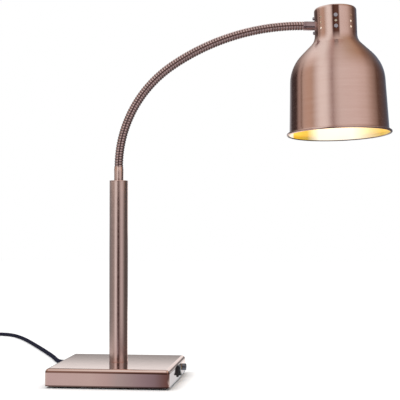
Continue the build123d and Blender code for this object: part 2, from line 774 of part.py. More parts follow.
def upper_ferrule():
    """The sleeve between the neck and the shade, its end coped to the crown."""
    sleeve = ferrule_rod(FERRULE_HEAD, -NECK_TO_AXIS, -CROWN_RADIUS + 3)
    sleeve -= rod(CROWN_RADIUS, (0, 0, -20), (0, 0, 20))
    sleeve += ferrule_rod(PIPE_RADIUS, -CROWN_RADIUS - 4, STUD_NUT_X[1])
    return sleeve - ferrule_rod(SPIGOT_BORE, -NECK_TO_AXIS, STUD_NUT_X[1])


def stud_nut():
    """The nut that pulls the ferrule's spigot against the bracket."""
    nut = hexagon(STUD_NUT_FLATS, 0, STUD_NUT_X[1] - STUD_NUT_X[0])
    nut -= rod(PIPE_RADIUS, (0, 0, 0), (0, 0, 10))
    seat = Plane((STUD_NUT_X[0], 0, 0), x_dir=(0, 1, 0), z_dir=(1, 0, 0))
    return FERRULE * (seat * nut)


def lampholder_bracket():
    """A bridge over the lampholder with an ear down the front and one down the back."""
    inside = CROWN_RADIUS - SHEET
    bridge = rod(inside, (0, 0, BRIDGE_Z[0]), (0, 0, BRIDGE_Z[1]))
    bridge &= block(-BRIDGE_HALF, BRIDGE_HALF, -40, 40, *BRIDGE_Z)
    bracket = bridge - rod(PIPE_RADIUS, (0, 0, 20), (0, 0, 30))
    for azimuth in (90, -90):
        ear = curved_plate(azimuth, EAR_HALF, EAR_BOTTOM, BRIDGE_Z[0])
        for z in HOLDER_SCREW_Z:
            ear -= crown_hole(M4, azimuth, z)
        bracket += ear - crown_hole(VENT_RADIUS, azimuth, VENT_ROWS[1])
    return bracket


def lampholder_body():
    """The ceramic holder, with the stub that is pressed through the bridge."""
    body = rod(HOLDER_RADIUS, (0, 0, HOLDER_BOTTOM), (0, 0, BRIDGE_Z[0]))
    body = fillet(body.edges().filter_by(GeomType.CIRCLE), 2.0)
    body += rod(PIPE_RADIUS, (0, 0, BRIDGE_Z[0] - 1), (0, 0, HOLDER_STUB_TOP))
    return body - rod(HOLDER_BORE, (0, 0, HOLDER_BOTTOM), (0, 0, HOLDER_BORE_TOP))


def lampholder_shell():
    """The threaded shell that takes the bulb's cap."""
    outer = SHELL_BORE + SHELL_WALL
    return turned(outline(
        (6.0, 0.0), (SHELL_BORE, 0.0), (SHELL_BORE, SHELL_BOTTOM), (outer, SHELL_BOTTOM),
        (outer, 0.0), (HOLDER_BORE, 0.0), (HOLDER_BORE, SHELL_WALL), (6.0, SHELL_WALL),
    ))


def bulb_glass(inset):
    """One face of the bulb's glass, from its open neck down to the middle of its face."""
    cone = (BULB_RADIUS - BULB_CONE, BULB_WIDE_Z)
    shoulder = (BULB_RADIUS - BULB_SHOULDER, BULB_WIDE_Z)
    cone_top = polar(cone, BULB_CONE, BULB_SLOPE)
    throat_x = BULB_NECK + BULB_THROAT
    throat_drop = (cone_top[0] - throat_x) / math.tan(math.radians(BULB_SLOPE))
    throat_drop += BULB_THROAT / math.sin(math.radians(BULB_SLOPE))
    throat = (throat_x, cone_top[1] + throat_drop)
    face_edge = polar(shoulder, BULB_SHOULDER, BULB_FACE_ANGLE)
    dome = face_edge[0] / math.cos(math.radians(BULB_FACE_ANGLE))
    centre = (0, face_edge[1] - dome * math.sin(math.radians(BULB_FACE_ANGLE)))
    stem = BULB_STEM - inset
    neck = BULB_NECK - inset
    return [
        Line((stem, -20.0), (stem, -28.0)),
        Line((stem, -28.0), (neck, -34.0)),
        Line((neck, -34.0), (neck, throat[1])),
        arc(throat, BULB_THROAT + inset, 180, 180 + BULB_SLOPE),
        Line(polar(throat, BULB_THROAT + inset, 180 + BULB_SLOPE), polar(cone, BULB_CONE - inset, BULB_SLOPE)),
        arc(cone, BULB_CONE - inset, BULB_SLOPE, 0),
        arc(shoulder, BULB_SHOULDER - inset, 0, BULB_FACE_ANGLE),
        arc(centre, dome - inset, BULB_FACE_ANGLE, -90),
    ], (0, centre[1] - dome + inset)


def bulb_envelope():
    """The reflector glass: neck, cone, shoulder and domed face."""
    outer, outer_face = bulb_glass(0)
    inner, inner_face = bulb_glass(GLASS)
    ends = [Line((BULB_STEM, -20.0), (BULB_STEM - GLASS, -20.0)), Line(outer_face, inner_face)]
    return turned(outer + inner + ends)


def bulb_cap():
    """The screw cap, with its centre contact."""
    wall = 0.4
    return turned(outline(
        (0, -0.5), (4.5, -0.5), (4.5, -1.5), (9.0, -4.0), (CAP_RADIUS, -5.5), (CAP_RADIUS, -27.5),
        (CAP_RADIUS - wall, -27.5), (CAP_RADIUS - wall, -5.9), (8.8, -4.5), (0, -2.0),
    ))


def bulb_filament():
    """The filament on its two lead-in wires."""
    route = ((-5.0, 0, -22.0), (-5.0, 0, -60.0), (-14.0, 0, -98.0), (0, 6.0, -104.0),
             (14.0, 0, -98.0), (5.0, 0, -60.0), (5.0, 0, -22.0))
    return along(route, 0.6)[0]


def head_lead():
    """The lead from the neck's end, up over the bracket and down into the holder."""
    start = (FERRULE * Pos(-NECK_TO_AXIS, 0, 0)).position
    knee = (FERRULE * Pos(-26.3, 0, 0)).position
    route = (start, knee, (knee.X, knee.Y, 28.5), (-12.0, 0, 28.5), (-12.0, 0, BRIDGE_Z[0]))
    return along(route, LEAD_RADIUS, [4.2, 4.2, 4.2])[0]


# Cord's coil and plug


def coil_at(turn):
    """The cord's centre in the coil after some turns, and its heading there."""
    inward = min(turn, COIL_TURNS - turn)
    radius = COIL_RADIUS - COIL_PITCH * inward
    middle = COIL_TURNS / 2
    climbed = min(max((turn - middle) * 2 + 0.5, 0.0), 1.0)
    angle = math.radians(-90 - 360 * turn)
    centre = Vector(
        COIL_CENTRE[0] + radius * math.cos(angle),
        COIL_CENTRE[1] + radius * math.sin(angle),
        CORD_Z + COIL_CLIMB * climbed,
    )
    at_end = turn in (0, COIL_TURNS)
    rate = 0.0 if at_end or turn == middle else math.copysign(COIL_PITCH, turn - middle)
    rise = 3 * COIL_CLIMB if turn == middle else 0.0
    around = 2 * math.pi * radius
    heading = Vector(
        around * math.sin(angle) + rate * math.cos(angle),
        -around * math.cos(angle) + rate * math.sin(angle),
        rise,
    )
    return centre, heading.normalized()


def biarc(start, start_heading, end, end_heading):
    """Two tangent arcs between two points with given headings."""
    chord = end - start
    both = start_heading + end_heading
    spread = 2 * (1 - start_heading.dot(end_heading))
    reach = chord.dot(both)
    arm = (math.sqrt(reach ** 2 + spread * chord.dot(chord)) - reach) / spread
    joint = (start + start_heading * arm + end - end_heading * arm) * 0.5
    first = Edge.make_tangent_arc(start, start_heading, joint)
    second = Edge.make_tangent_arc(end, end_heading * -1, joint)
    return [first, second.reversed()]


def cord_coil():
    """The spare cord, coiled on the surface, as one tube on quarter-turn biarcs."""
    quarters = [quarter / 4 for quarter in range(int(COIL_TURNS * 4) + 1)]
    knots = [coil_at(turn) for turn in quarters]
    straight = 2 * CORD_RADIUS
    (first, first_heading), (last, last_heading) = knots[0], knots[-1]
    edges = [Line(first - first_heading * straight, first)]
    for (a, a_heading), (b, b_heading) in zip(knots, knots[1:]):
        edges += biarc(a, a_heading, b, b_heading)
    edges.append(Line(last, last + last_heading * straight))
    path = Wire(edges)
    begin = Plane(first - first_heading * straight, z_dir=first_heading)
    return sweep(begin * Circle(CORD_RADIUS), path=path), path


def least_gap(path, steps):
    """The least gap between a coiled tube's turns, on points of its centreline."""
    points = [path.position_at(step / steps) for step in range(steps + 1)]
    apart = int(steps * 12 * CORD_RADIUS / path.length)
    gap = math.inf
    for index, point in enumerate(points):
        for other in points[index + apart:]:
            gap = min(gap, (other - point).length)
    return gap - 2 * CORD_RADIUS


def plug_frame():
    """The plug's own frame: +Z along its pins, its origin at the cord's end."""
    end = Vector(TAIL_ROUTE[-1])
    return Plane(end, x_dir=(1, 0, 0), z_dir=(0, 1, 0))


def plug_body():
    """A round plug: a tapered tail, a shoulder and a face with two side flats."""
    length = PLUG_BOOT + PLUG_LENGTH
    body = turned([
        Line((0, 0), (5.6, 0)),
        Line((5.6, 0), (6.6, 12.0)),
        ThreePointArc((6.6, 12.0), (9.0, 20.0), (15.0, PLUG_BOOT)),
        Line((15.0, PLUG_BOOT), (PLUG_RADIUS, PLUG_BOOT + 3.0)),
        Line((PLUG_RADIUS, PLUG_BOOT + 3.0), (PLUG_RADIUS, length - 1.5)),
        Line((PLUG_RADIUS, length - 1.5), (PLUG_RADIUS - 1.5, length)),
        Line((PLUG_RADIUS - 1.5, length), (0, length)),
        Line((0, length), (0, 0)),
    ])
    for side in (-1, 1):
        middle = side * (PLUG_RADIUS - 1.0)
        slot = block(-3.0, 3.0, middle - 2.0, middle + 2.0, PLUG_BOOT + 5.0, length + 1)
        body -= Rot(0, 0, 90) * slot
        body -= rod(PIN_RADIUS, (side * PIN_SPACING / 2, 0, length - 8), (side * PIN_SPACING / 2, 0, length))
    return plug_frame() * body


def plug_pins():
    """Two round pins, set in the plug's face."""
    length = PLUG_BOOT + PLUG_LENGTH
    pins = []
    for side in (-1, 1):
        x = side * PIN_SPACING / 2
        pin = rod(PIN_RADIUS, (x, 0, length - 8), (x, 0, length + PIN_LENGTH))
        pin = fillet(pin.faces().sort_by(Axis.Z)[-1].edges(), 1.6)
        pins.append(plug_frame() * pin)
    return pins


# Writing the nodes


def write_base():
    """Everything inside and on the base."""
    save("base_cover", base_cover())
    save("bottom_plate", bottom_plate())
    save("bottom_plate_screws", *bottom_plate_screws())
    save("rubber_feet", *rubber_feet())
    save("ballast_plate", ballast_plate())
    save("spacer_ring", post_ring(SPACER_RADIUS, PIPE_RADIUS + 0.3, BALLAST_TOP, BASE_TOP - COVER_WALL))
    save("terminal_block", terminal_block())
    save("mains_wires", *mains_wires())
    save("control_wires", *control_wires())
    save("cord_clamp", cord_clamp())
    save("switch_housing", switch_housing())
    save("switch_terminals", *switch_terminals())
    save("switch_rocker", switch_rocker())
    save("dimmer_body", dimmer_body())
    save("dimmer_nut", dimmer_nut())
    save("dimmer_shaft", dimmer_shaft())
    save("dimmer_knob", dimmer_knob())


def write_post():
    """The post with what clamps it, and the lead inside."""
    save("tie_pipe", post_ring(PIPE_RADIUS, PIPE_BORE, PIPE_BOTTOM, PIPE_TOP))
    save("tie_nut", tie_nut())
    save("tie_washer", post_ring(WASHER_RADIUS, PIPE_RADIUS + PIPE_CLEAR, TIE_NUT_Z[1], COUNTERBORE_TOP))
    save("post_tube", post_ring(POST_RADIUS, POST_BORE, BASE_TOP, POST_TOP))
    save("post_cap", post_cap())
    save("lower_ferrule", lower_ferrule())
    route = ((BLOCK_X[0], 0, 4.5), (0, 0, 4.5), (0, 0, NECK_START))
    save("riser_lead", along(route, LEAD_RADIUS, [5.0])[0])


def write_neck():
    """The ribbed neck in its sections, and the lead through it."""
    for number in range(1, SECTIONS + 1):
        save(f"neck_section_{number:02d}", neck_section(number))
    save("neck_lead", neck_core(LEAD_RADIUS, 0, SECTIONS * SECTION))


def write_head():
    """The shade and all that it holds."""
    save("shade", HEAD * shade())
    save("upper_ferrule", HEAD * upper_ferrule())
    save("stud_nut", HEAD * stud_nut())
    save("neck_bracket", HEAD * neck_bracket())
    small = crown_screws([180], NECK_SCREW_Z, NECK_SCREW_HEAD, 3.0, M4 * 0.75, 5.0)
    save("neck_bracket_screws", *[HEAD * screw for screw in small])
    large = crown_screws([90, -90], HOLDER_SCREW_Z, HOLDER_SCREW_HEAD, 2.4, M4, 6.0)
    save("bracket_screws", *[HEAD * screw for screw in large])
    save("lampholder_bracket", HEAD * lampholder_bracket())
    save("lampholder_body", HEAD * lampholder_body())
    save("lampholder_shell", HEAD * lampholder_shell())
    save("lampholder_contact", HEAD * rod(3.5, (0, 0, -0.2), (0, 0, HOLDER_BORE_TOP)))
    save("head_lead", HEAD * head_lead())
    save("bulb_envelope", HEAD * bulb_envelope())
    save("bulb_cap", HEAD * bulb_cap())
    save("bulb_filament", HEAD * bulb_filament())


def write_cord():
    """The cord from the clamp to the plug."""
    save("strain_relief", strain_relief())
    inner_end = (GLAND_X, TAIL_END, GLAND_Z)
    save("supply_tail", rod(CORD_RADIUS, inner_end, CORD_ROUTE[0]))
    cord, length = along(CORD_ROUTE, CORD_RADIUS)
    report_cord("power_cord", cord, length, bend_radii(CORD_ROUTE))
    save("power_cord", cord)
    coil, path = cord_coil()
    report_cord("cord_coil", coil, path.length)
    print("cord_coil least gap", round(least_gap(path, 1200), 2))
    save("cord_coil", coil)
    tail, tail_length = along(TAIL_ROUTE, CORD_RADIUS)
    report_cord("cord_tail", tail, tail_length, bend_radii(TAIL_ROUTE))
    save("cord_tail", tail)
    print("cord outside the base", round(length + path.length + tail_length))
    save("plug_body", plug_body())
    save("plug_pins", *plug_pins())


write_base()
write_post()
write_neck()
write_head()
write_cord()
print("head centre", [round(value, 3) for value in HEAD_CENTRE], "tilt", round(HEAD_TILT, 3))
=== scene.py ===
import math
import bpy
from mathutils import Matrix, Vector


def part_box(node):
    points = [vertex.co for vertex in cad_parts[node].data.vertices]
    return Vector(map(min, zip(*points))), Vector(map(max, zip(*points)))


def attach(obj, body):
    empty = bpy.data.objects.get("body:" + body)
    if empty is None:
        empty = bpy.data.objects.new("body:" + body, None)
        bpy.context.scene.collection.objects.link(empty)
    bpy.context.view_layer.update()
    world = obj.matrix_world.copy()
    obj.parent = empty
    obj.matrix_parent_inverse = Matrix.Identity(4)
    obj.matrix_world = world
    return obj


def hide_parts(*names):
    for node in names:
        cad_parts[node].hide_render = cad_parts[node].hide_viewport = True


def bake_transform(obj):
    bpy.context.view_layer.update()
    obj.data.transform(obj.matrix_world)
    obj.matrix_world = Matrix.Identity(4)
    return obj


bl_info = {
    "name": "Flexible food heat lamp",
    "version": (1, 0, 0),
    "blender": (4, 5, 0),
    "location": "3D View > Sidebar > Heat lamp",
    "description": "A copper heat lamp for food, on a weighted base with a flexible neck",
    "category": "Add Mesh",
}

import bmesh
import bpy
import numpy as np
from bpy.props import FloatProperty, FloatVectorProperty, IntProperty, PointerProperty
from mathutils import Matrix, Vector

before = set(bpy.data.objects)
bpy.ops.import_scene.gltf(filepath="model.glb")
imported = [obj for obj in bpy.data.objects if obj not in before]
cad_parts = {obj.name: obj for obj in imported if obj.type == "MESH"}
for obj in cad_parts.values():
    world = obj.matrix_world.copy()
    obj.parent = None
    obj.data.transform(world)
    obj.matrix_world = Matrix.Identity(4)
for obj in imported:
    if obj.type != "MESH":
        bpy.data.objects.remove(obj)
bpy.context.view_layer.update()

# Sizes that the construction shares, in metres. The origin is under the post, on the bottom plate.
MM = 0.001
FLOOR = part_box("rubber_feet")[0].z
BASE_HALF = 110.0 * MM
BASE_TOP = 30.0 * MM
POST_TOP = 360.0 * MM
CAP_TOP = 362.0 * MM
NECK_START = 387.5 * MM
SECTION = 36.37 * MM
LOWER_SECTIONS = 6
SECTIONS = 13
LOWER_BEND = 222.0 * MM
UPPER_BEND = 410.5 * MM
RIB_PITCH = SECTION / 7.5
GROOVE_BEFORE_PIVOT = 3.7 * MM
NECK_BORE = 4.0 * MM
LEAD_RADIUS = 2.1 * MM
NECK_TO_AXIS = 57.3 * MM
FERRULE_RADIUS = 8.2 * MM
HEAD_TWIST = 2.6
SHADE_LEAN = 3.6
FERRULE_LEVEL = 38.1 * MM * math.tan(math.radians(SHADE_LEAN))
CROWN_TOP = 33.0 * MM
CROWN_CORNER = 6.0 * MM
FLARE_TOP = -16.6 * MM
FLARE_RADIUS = 25.0 * MM
SLOPE_RUN = 18.68 * MM
SHOULDER_RADIUS = 72.0 * MM
SKIRT_ANGLE = 2.4
SKIRT_END = -187.0 * MM
BEAD_CENTRE = (91.9 * MM, -195.0 * MM)
BEAD_RADIUS = 2.3 * MM
VENT_ROWS = (12.4 * MM, 2.3 * MM, -7.8 * MM)
VENT_COLUMNS = (0, 45, -45, 135, -135)
HOLDER_SCREW_ROWS = (11.7 * MM, -8.1 * MM)
NECK_SCREW_ROWS = (FERRULE_LEVEL + 13.3 * MM, FERRULE_LEVEL - 13.3 * MM)

# The cord's route, in metres, from the boot to the coil and on to the plug
CORD_LEVEL = FLOOR + 4.25 * MM
CORD_ROUTE = (
    (-0.0840, 0.1430, 0.0130),
    (-0.0840, 0.1670, 0.0130),
    (-0.0946, 0.1897, 0.0090),
    (-0.1155, 0.1995, 0.0040),
    (-0.1490, 0.2015, 0.0005),
    (-0.1690, 0.2190, CORD_LEVEL),
    (-0.1925, 0.2820, CORD_LEVEL),
    (-0.2360, 0.3780, CORD_LEVEL),
    (-0.2820, 0.4760, CORD_LEVEL),
    (-0.3295, 0.5750, CORD_LEVEL),
    (-0.3580, 0.6300, CORD_LEVEL),
    (-0.3800, 0.6680, CORD_LEVEL),
    (-0.4010, 0.6980, CORD_LEVEL),
    (-0.4190, 0.7165, CORD_LEVEL),
    (-0.4370, 0.7250, CORD_LEVEL),
    (-0.4570, 0.7280, CORD_LEVEL),
    (-0.4900, 0.7240, CORD_LEVEL),
)
COIL_CENTRE = (-0.528, 0.776)
COIL_RADIUS = 0.052
COIL_TURNS = 3
COIL_PITCH = 0.0094
COIL_CLIMB = 0.009
COIL_POINTS = 16
TAIL_ROUTE = (
    (-0.5600, 0.7240, CORD_LEVEL + 0.009),
    (-0.5900, 0.7270, 0.0005),
    (-0.6100, 0.7350, CORD_LEVEL),
    (-0.6300, 0.7500, 0.0040),
    (-0.6370, 0.7730, 0.0145),
    (-0.6370, 0.7930, 0.0145),
)


# Sizes and finishes that a user may change


class LampSizes(bpy.types.PropertyGroup):
    """Sizes of the visible pieces"""

    post_radius: FloatProperty(
        name="Post radius", description="Outer radius of the post", default=0.017, unit="LENGTH"
    )
    crown_radius: FloatProperty(
        name="Crown radius", description="Outer radius of the shade's crown", default=0.0381, unit="LENGTH"
    )
    shade_wall: FloatProperty(
        name="Shade wall", description="Thickness of the shade's sheet", default=0.0012, unit="LENGTH"
    )
    vent_radius: FloatProperty(
        name="Vent radius", description="Radius of the crown's vent holes", default=0.00215, unit="LENGTH"
    )
    rib_crest: FloatProperty(
        name="Rib crest", description="Neck radius on top of a rib", default=0.008, unit="LENGTH"
    )
    rib_groove: FloatProperty(
        name="Rib groove", description="Neck radius between two ribs", default=0.0071, unit="LENGTH"
    )
    cord_radius: FloatProperty(
        name="Cord radius", description="Half of the cord's thickness", default=0.00425, unit="LENGTH"
    )
    bulb_radius: FloatProperty(
        name="Bulb radius", description="The bulb's widest radius", default=0.0625, unit="LENGTH"
    )
    columns: IntProperty(
        name="Columns", description="Faces around a turned piece", default=128, min=24, max=360
    )


class LampFinishes(bpy.types.PropertyGroup):
    """Colours and gloss of the visible pieces"""

    copper_light: FloatVectorProperty(
        name="Copper light", description="Colour of clean copper", subtype="COLOR",
        default=(0.74, 0.53, 0.46), min=0.0, max=1.0,
    )
    copper_deep: FloatVectorProperty(
        name="Copper deep", description="Colour of copper in its brush lines", subtype="COLOR",
        default=(0.60, 0.38, 0.31), min=0.0, max=1.0,
    )
    copper_gloss: FloatProperty(
        name="Copper roughness", description="Roughness of the brushed copper", subtype="FACTOR",
        default=0.20, min=0.0, max=1.0,
    )
    neck_colour: FloatVectorProperty(
        name="Neck", description="Colour of the neck's strip", subtype="COLOR",
        default=(0.38, 0.28, 0.265), min=0.0, max=1.0,
    )
    brush_spacing: FloatProperty(
        name="Brush spacing", description="Distance between the brush lines", default=0.0011, unit="LENGTH"
    )
    inside_light: FloatVectorProperty(
        name="Shade inside", description="Colour of the shade's inner face", subtype="COLOR",
        default=(0.50, 0.31, 0.10), min=0.0, max=1.0,
    )
    ferrule_colour: FloatVectorProperty(
        name="Upper ferrule", description="Colour of the sleeve at the shade", subtype="COLOR",
        default=(0.42, 0.31, 0.31), min=0.0, max=1.0,
    )
    steel: FloatVectorProperty(
        name="Steel", description="Colour of the screws", subtype="COLOR",
        default=(0.43, 0.41, 0.44), min=0.0, max=1.0,
    )
    black: FloatVectorProperty(
        name="Black plastic", description="Colour of the switch and the plug", subtype="COLOR",
        default=(0.018, 0.018, 0.020), min=0.0, max=1.0,
    )
    jacket: FloatVectorProperty(
        name="Cord jacket", description="Colour of the cord", subtype="COLOR",
        default=(0.021, 0.021, 0.036), min=0.0, max=1.0,
    )
    glow: FloatVectorProperty(
        name="Bulb glow", description="Colour of the bulb's light", subtype="COLOR",
        default=(1.0, 0.72, 0.34), min=0.0, max=1.0,
    )
    glow_strength: FloatProperty(
        name="Glow strength", description="Strength of the bulb's light", default=9.0, min=0.0
    )


class LampStage(bpy.types.PropertyGroup):
    """Floor and studio light"""

    floor_colour: FloatVectorProperty(
        name="Floor", description="Colour of the floor", subtype="COLOR",
        default=(0.95, 0.95, 0.95), min=0.0, max=1.0,
    )
    floor_glow: FloatProperty(
        name="Floor white", description="Share of white that the floor shows by itself", default=0.22, min=0.0
    )
    world_light: FloatProperty(
        name="Room light", description="Light from the whole room", default=0.85, min=0.0
    )
    key_power: FloatProperty(
        name="Key power", description="Power of the large lamp above", default=14.0, min=0.0, unit="POWER"
    )


# Shapes as grids of points


def heading(degrees):
    """The unit vector at an angle: (cosine, sine)."""
    return np.array([math.cos(math.radians(degrees)), math.sin(math.radians(degrees))])


def sheet(x, y, z):
    """A grid of points from coordinates given down its rows, along its columns, for both or for neither."""
    return np.stack(np.broadcast_arrays(x, y, z), -1)


def arc_run(centre, radius, start, end, steps):
    """Points of a circle: centre plus radius times (cosine, sine) of even angles from start to end."""
    angle = np.radians(np.linspace(start, end, steps + 1))
    return np.stack([centre[0] + radius * np.cos(angle), centre[1] + radius * np.sin(angle)], 1)


def straight_run(start, end, steps):
    """Points that divide a straight line evenly: start times (1 - share) plus end times share."""
    share = np.linspace(0, 1, steps + 1)[:, None]
    return np.array(start) * (1 - share) + np.array(end) * share


def corner_run(*points):
    """Straight lines from point to point, undivided."""
    return np.array(points)


def bow_run(start, middle, end, steps):
    """A quadratic curve: start, middle and end weighted (1-t) squared, 2t(1-t) and t squared."""
    share = np.linspace(0, 1, steps + 1)[:, None]
    weights = [(1 - share) ** 2, 2 * share * (1 - share), share ** 2]
    return sum(weight * np.array(point) for weight, point in zip(weights, (start, middle, end)))


def joined(*runs):
    """One outline from runs that start where the one before ends."""
    return np.concatenate([runs[0]] + [run[1:] for run in runs[1:]])


def turned_rows(outline, columns):
    """Each outline point (radius, height) on its circle: (radius cos a, radius sin a, height) for even a."""
    angle = np.linspace(0, 2 * np.pi, columns, endpoint=False)[None, :]
    radius, height = outline[:, :1], outline[:, 1:]
    return sheet(radius * np.cos(angle), radius * np.sin(angle), height)


def placed(rows, matrix):
    """The same points moved by a 4 by 4 matrix: turned, then shifted."""
    matrix = np.array(matrix)
    return rows @ matrix[:3, :3].T + matrix[:3, 3]


def part_of(rows, material=0, closed=True):
    """Points, four-cornered faces, texture places and material of a grid, which may close on itself sideways.
    The texture's u is the share of the way around, and its v the metres along the first column."""
    count, columns = rows.shape[:2]
    across = columns if closed else columns - 1
    row, column = np.meshgrid(np.arange(count - 1), np.arange(across), indexing="ij")
    right = (column + 1) % columns
    here, above = row * columns, (row + 1) * columns
    faces = np.stack([here + column, here + right, above + right, above + column], -1).reshape(-1, 4)
    steps = np.linalg.norm(np.diff(rows[:, 0], axis=0), axis=1)
    along = np.concatenate([[0.0], np.cumsum(steps)])
    u = np.stack([column, column + 1, column + 1, column], -1).reshape(-1, 4) / columns
    v = along[np.stack([row, row, row + 1, row + 1], -1).reshape(-1, 4)]
    return {"points": rows.reshape(-1, 3), "faces": faces, "uv": np.stack([u, v], -1), "material": material}


def volume_of(points, faces):
    """Signed volume: a sixth of the triangles' summed corner products, positive if faces point outwards."""
    a, b, c, d = (points[faces[:, corner]] for corner in range(4))
    first = np.einsum("ij,ij->i", a, np.cross(b, c))
    return (first + np.einsum("ij,ij->i", a, np.cross(c, d))).sum() / 6


def outward(part):
    """The part with its faces turned outwards."""
    middle = part["points"].mean(0)
    if volume_of(part["points"] - middle, part["faces"]) < 0:
        part["faces"] = part["faces"][:, ::-1]
        part["uv"] = part["uv"][:, ::-1]
    return part


def make_piece(name, parts, materials, values=None, sharp=32.0, weld=True):
    """One mesh object from parts, with equal points welded, smooth faces and sharp edges above an angle."""
    points = np.concatenate([part["points"] for part in parts])
    starts = np.cumsum([0] + [len(part["points"]) for part in parts[:-1]])
    faces = np.concatenate([part["faces"] + start for part, start in zip(parts, starts)])
    uv = np.concatenate([part["uv"] for part in parts])
    index = np.concatenate([np.broadcast_to(part["material"], len(part["faces"])) for part in parts])
    mesh = bpy.data.meshes.new(name)
    mesh.from_pydata(points.tolist(), [], faces.tolist())
    layer = mesh.uv_layers.new(name="UVMap")
    layer.data.foreach_set("uv", uv.reshape(-1).astype(np.float32))
    mesh.polygons.foreach_set("material_index", index.astype(np.int32))
    for key, data in (values or {}).items():
        attribute = mesh.attributes.new(key, "FLOAT", "POINT")
        attribute.data.foreach_set("value", data.reshape(-1).astype(np.float32))
    if weld:
        welded = bmesh.new()
        welded.from_mesh(mesh)
        bmesh.ops.remove_doubles(welded, verts=welded.verts, dist=2e-7)
        loose = [vertex for vertex in welded.verts if not vertex.link_faces]
        bmesh.ops.delete(welded, geom=loose, context="VERTS")
        welded.to_mesh(mesh)
        welded.free()
    mesh.polygons.foreach_set("use_smooth", np.ones(len(mesh.polygons), bool))
    mesh.set_sharp_from_angle(angle=math.radians(sharp))
    for material in materials:
        mesh.materials.append(material)
    made = bpy.data.objects.new(name, mesh)
    bpy.context.scene.collection.objects.link(made)
    return made


# The neck's line and the head's own frame


def neck_line(distance):
    """Centres and angles from upright along the neck: an arc of the lower radius, then one of the upper.
    Each adds radius times the change of minus cosine to x, and radius times the change of sine to z."""
    joint = LOWER_SECTIONS * SECTION
    first = np.minimum(distance, joint) / LOWER_BEND
    last = first + np.maximum(distance - joint, 0.0) / UPPER_BEND
    x = LOWER_BEND * (1 - np.cos(first)) + UPPER_BEND * (np.cos(first) - np.cos(last))
    z = NECK_START + LOWER_BEND * np.sin(first) + UPPER_BEND * (np.sin(last) - np.sin(first))
    return sheet(x, 0.0, z), last


def ferrule_frame():
    """The upper ferrule's frame: X goes on along the neck's end, and the origin is on the shade's axis."""
    end, angle = neck_line(np.array(SECTIONS * SECTION))
    centre = end + NECK_TO_AXIS * np.array([np.sin(angle), 0.0, np.cos(angle)])
    return Matrix.Translation(Vector(centre)) @ Matrix.Rotation(float(angle) - math.pi / 2, 4, "Y")


FERRULE = ferrule_frame()
# The shade's own frame: it leans a little to its ferrule
LEAN = Matrix.Rotation(math.radians(-SHADE_LEAN), 4, "Y") @ Matrix.Rotation(math.radians(-HEAD_TWIST), 4, "X")
HEAD = FERRULE @ LEAN


# Materials


def node(tree, kind, values=None, **settings):
    """A new node with its settings, and each named input linked to a socket or set to a value."""
    made = tree.nodes.new(kind)
    for key, value in settings.items():
        setattr(made, key, value)
    for key, value in (values or {}).items():
        if isinstance(value, bpy.types.NodeSocket):
            tree.links.new(value, made.inputs[key])
        else:
            made.inputs[key].default_value = value
    return made


def feed(tree, shader, sockets):
    """Link the shader's inputs, each by its name."""
    for key, socket in sockets.items():
        tree.links.new(socket, shader.inputs[key])


def sums(tree, operation, first, second=0.0, third=0.0):
    """The result of one arithmetic step."""
    made = node(tree, "ShaderNodeMath", {0: first, 1: second, 2: third}, operation=operation)
    return made.outputs[0]


def ramp(tree, value, low, high, first=0.0, last=1.0):
    """The value's place between low and high, kept from first to last."""
    values = {"Value": value, "From Min": low, "From Max": high, "To Min": first, "To Max": last}
    return node(tree, "ShaderNodeMapRange", values).outputs["Result"]


def mixed(tree, factor, first, second):
    """Two colours mixed by a factor."""
    # Among the mixing node's sockets of several kinds, inputs 6 and 7 and output 2 are the colours
    return node(tree, "ShaderNodeMix", {"Factor": factor, 6: first, 7: second}, data_type="RGBA").outputs[2]


def node_group(name, inputs, outputs, fill):
    """A group built once: its inputs with their values, its outputs, and what fill puts between them. A value
    of four numbers makes a colour input and one of three a place. The output called Color is a colour."""
    tree = bpy.data.node_groups.get(name)
    if tree:
        return tree
    tree = bpy.data.node_groups.new(name, "ShaderNodeTree")
    kinds = {4: "NodeSocketColor", 3: "NodeSocketVector", 1: "NodeSocketFloat"}
    for key, value in inputs.items():
        socket = tree.interface.new_socket(name=key, in_out="INPUT", socket_type=kinds[np.size(value)])
        socket.default_value = value
    for key in outputs:
        tree.interface.new_socket(name=key, in_out="OUTPUT", socket_type=kinds[4 if key == "Color" else 1])
    results = fill(tree, tree.nodes.new("NodeGroupInput").outputs)
    end = tree.nodes.new("NodeGroupOutput")
    for key in outputs:
        tree.links.new(results[key], end.inputs[key])
    return tree


def grouped(tree, group, **values):
    """The outputs of a group that stands in a tree with its inputs set or linked."""
    return node(tree, "ShaderNodeGroup", values, node_tree=group).outputs


def spread_about(tree, middle, level, spread):
    """A value that goes from half a spread below the middle to half a spread above it as the level rises."""
    return sums(tree, "ADD", middle, sums(tree, "MULTIPLY", sums(tree, "SUBTRACT", level, 0.5), spread))


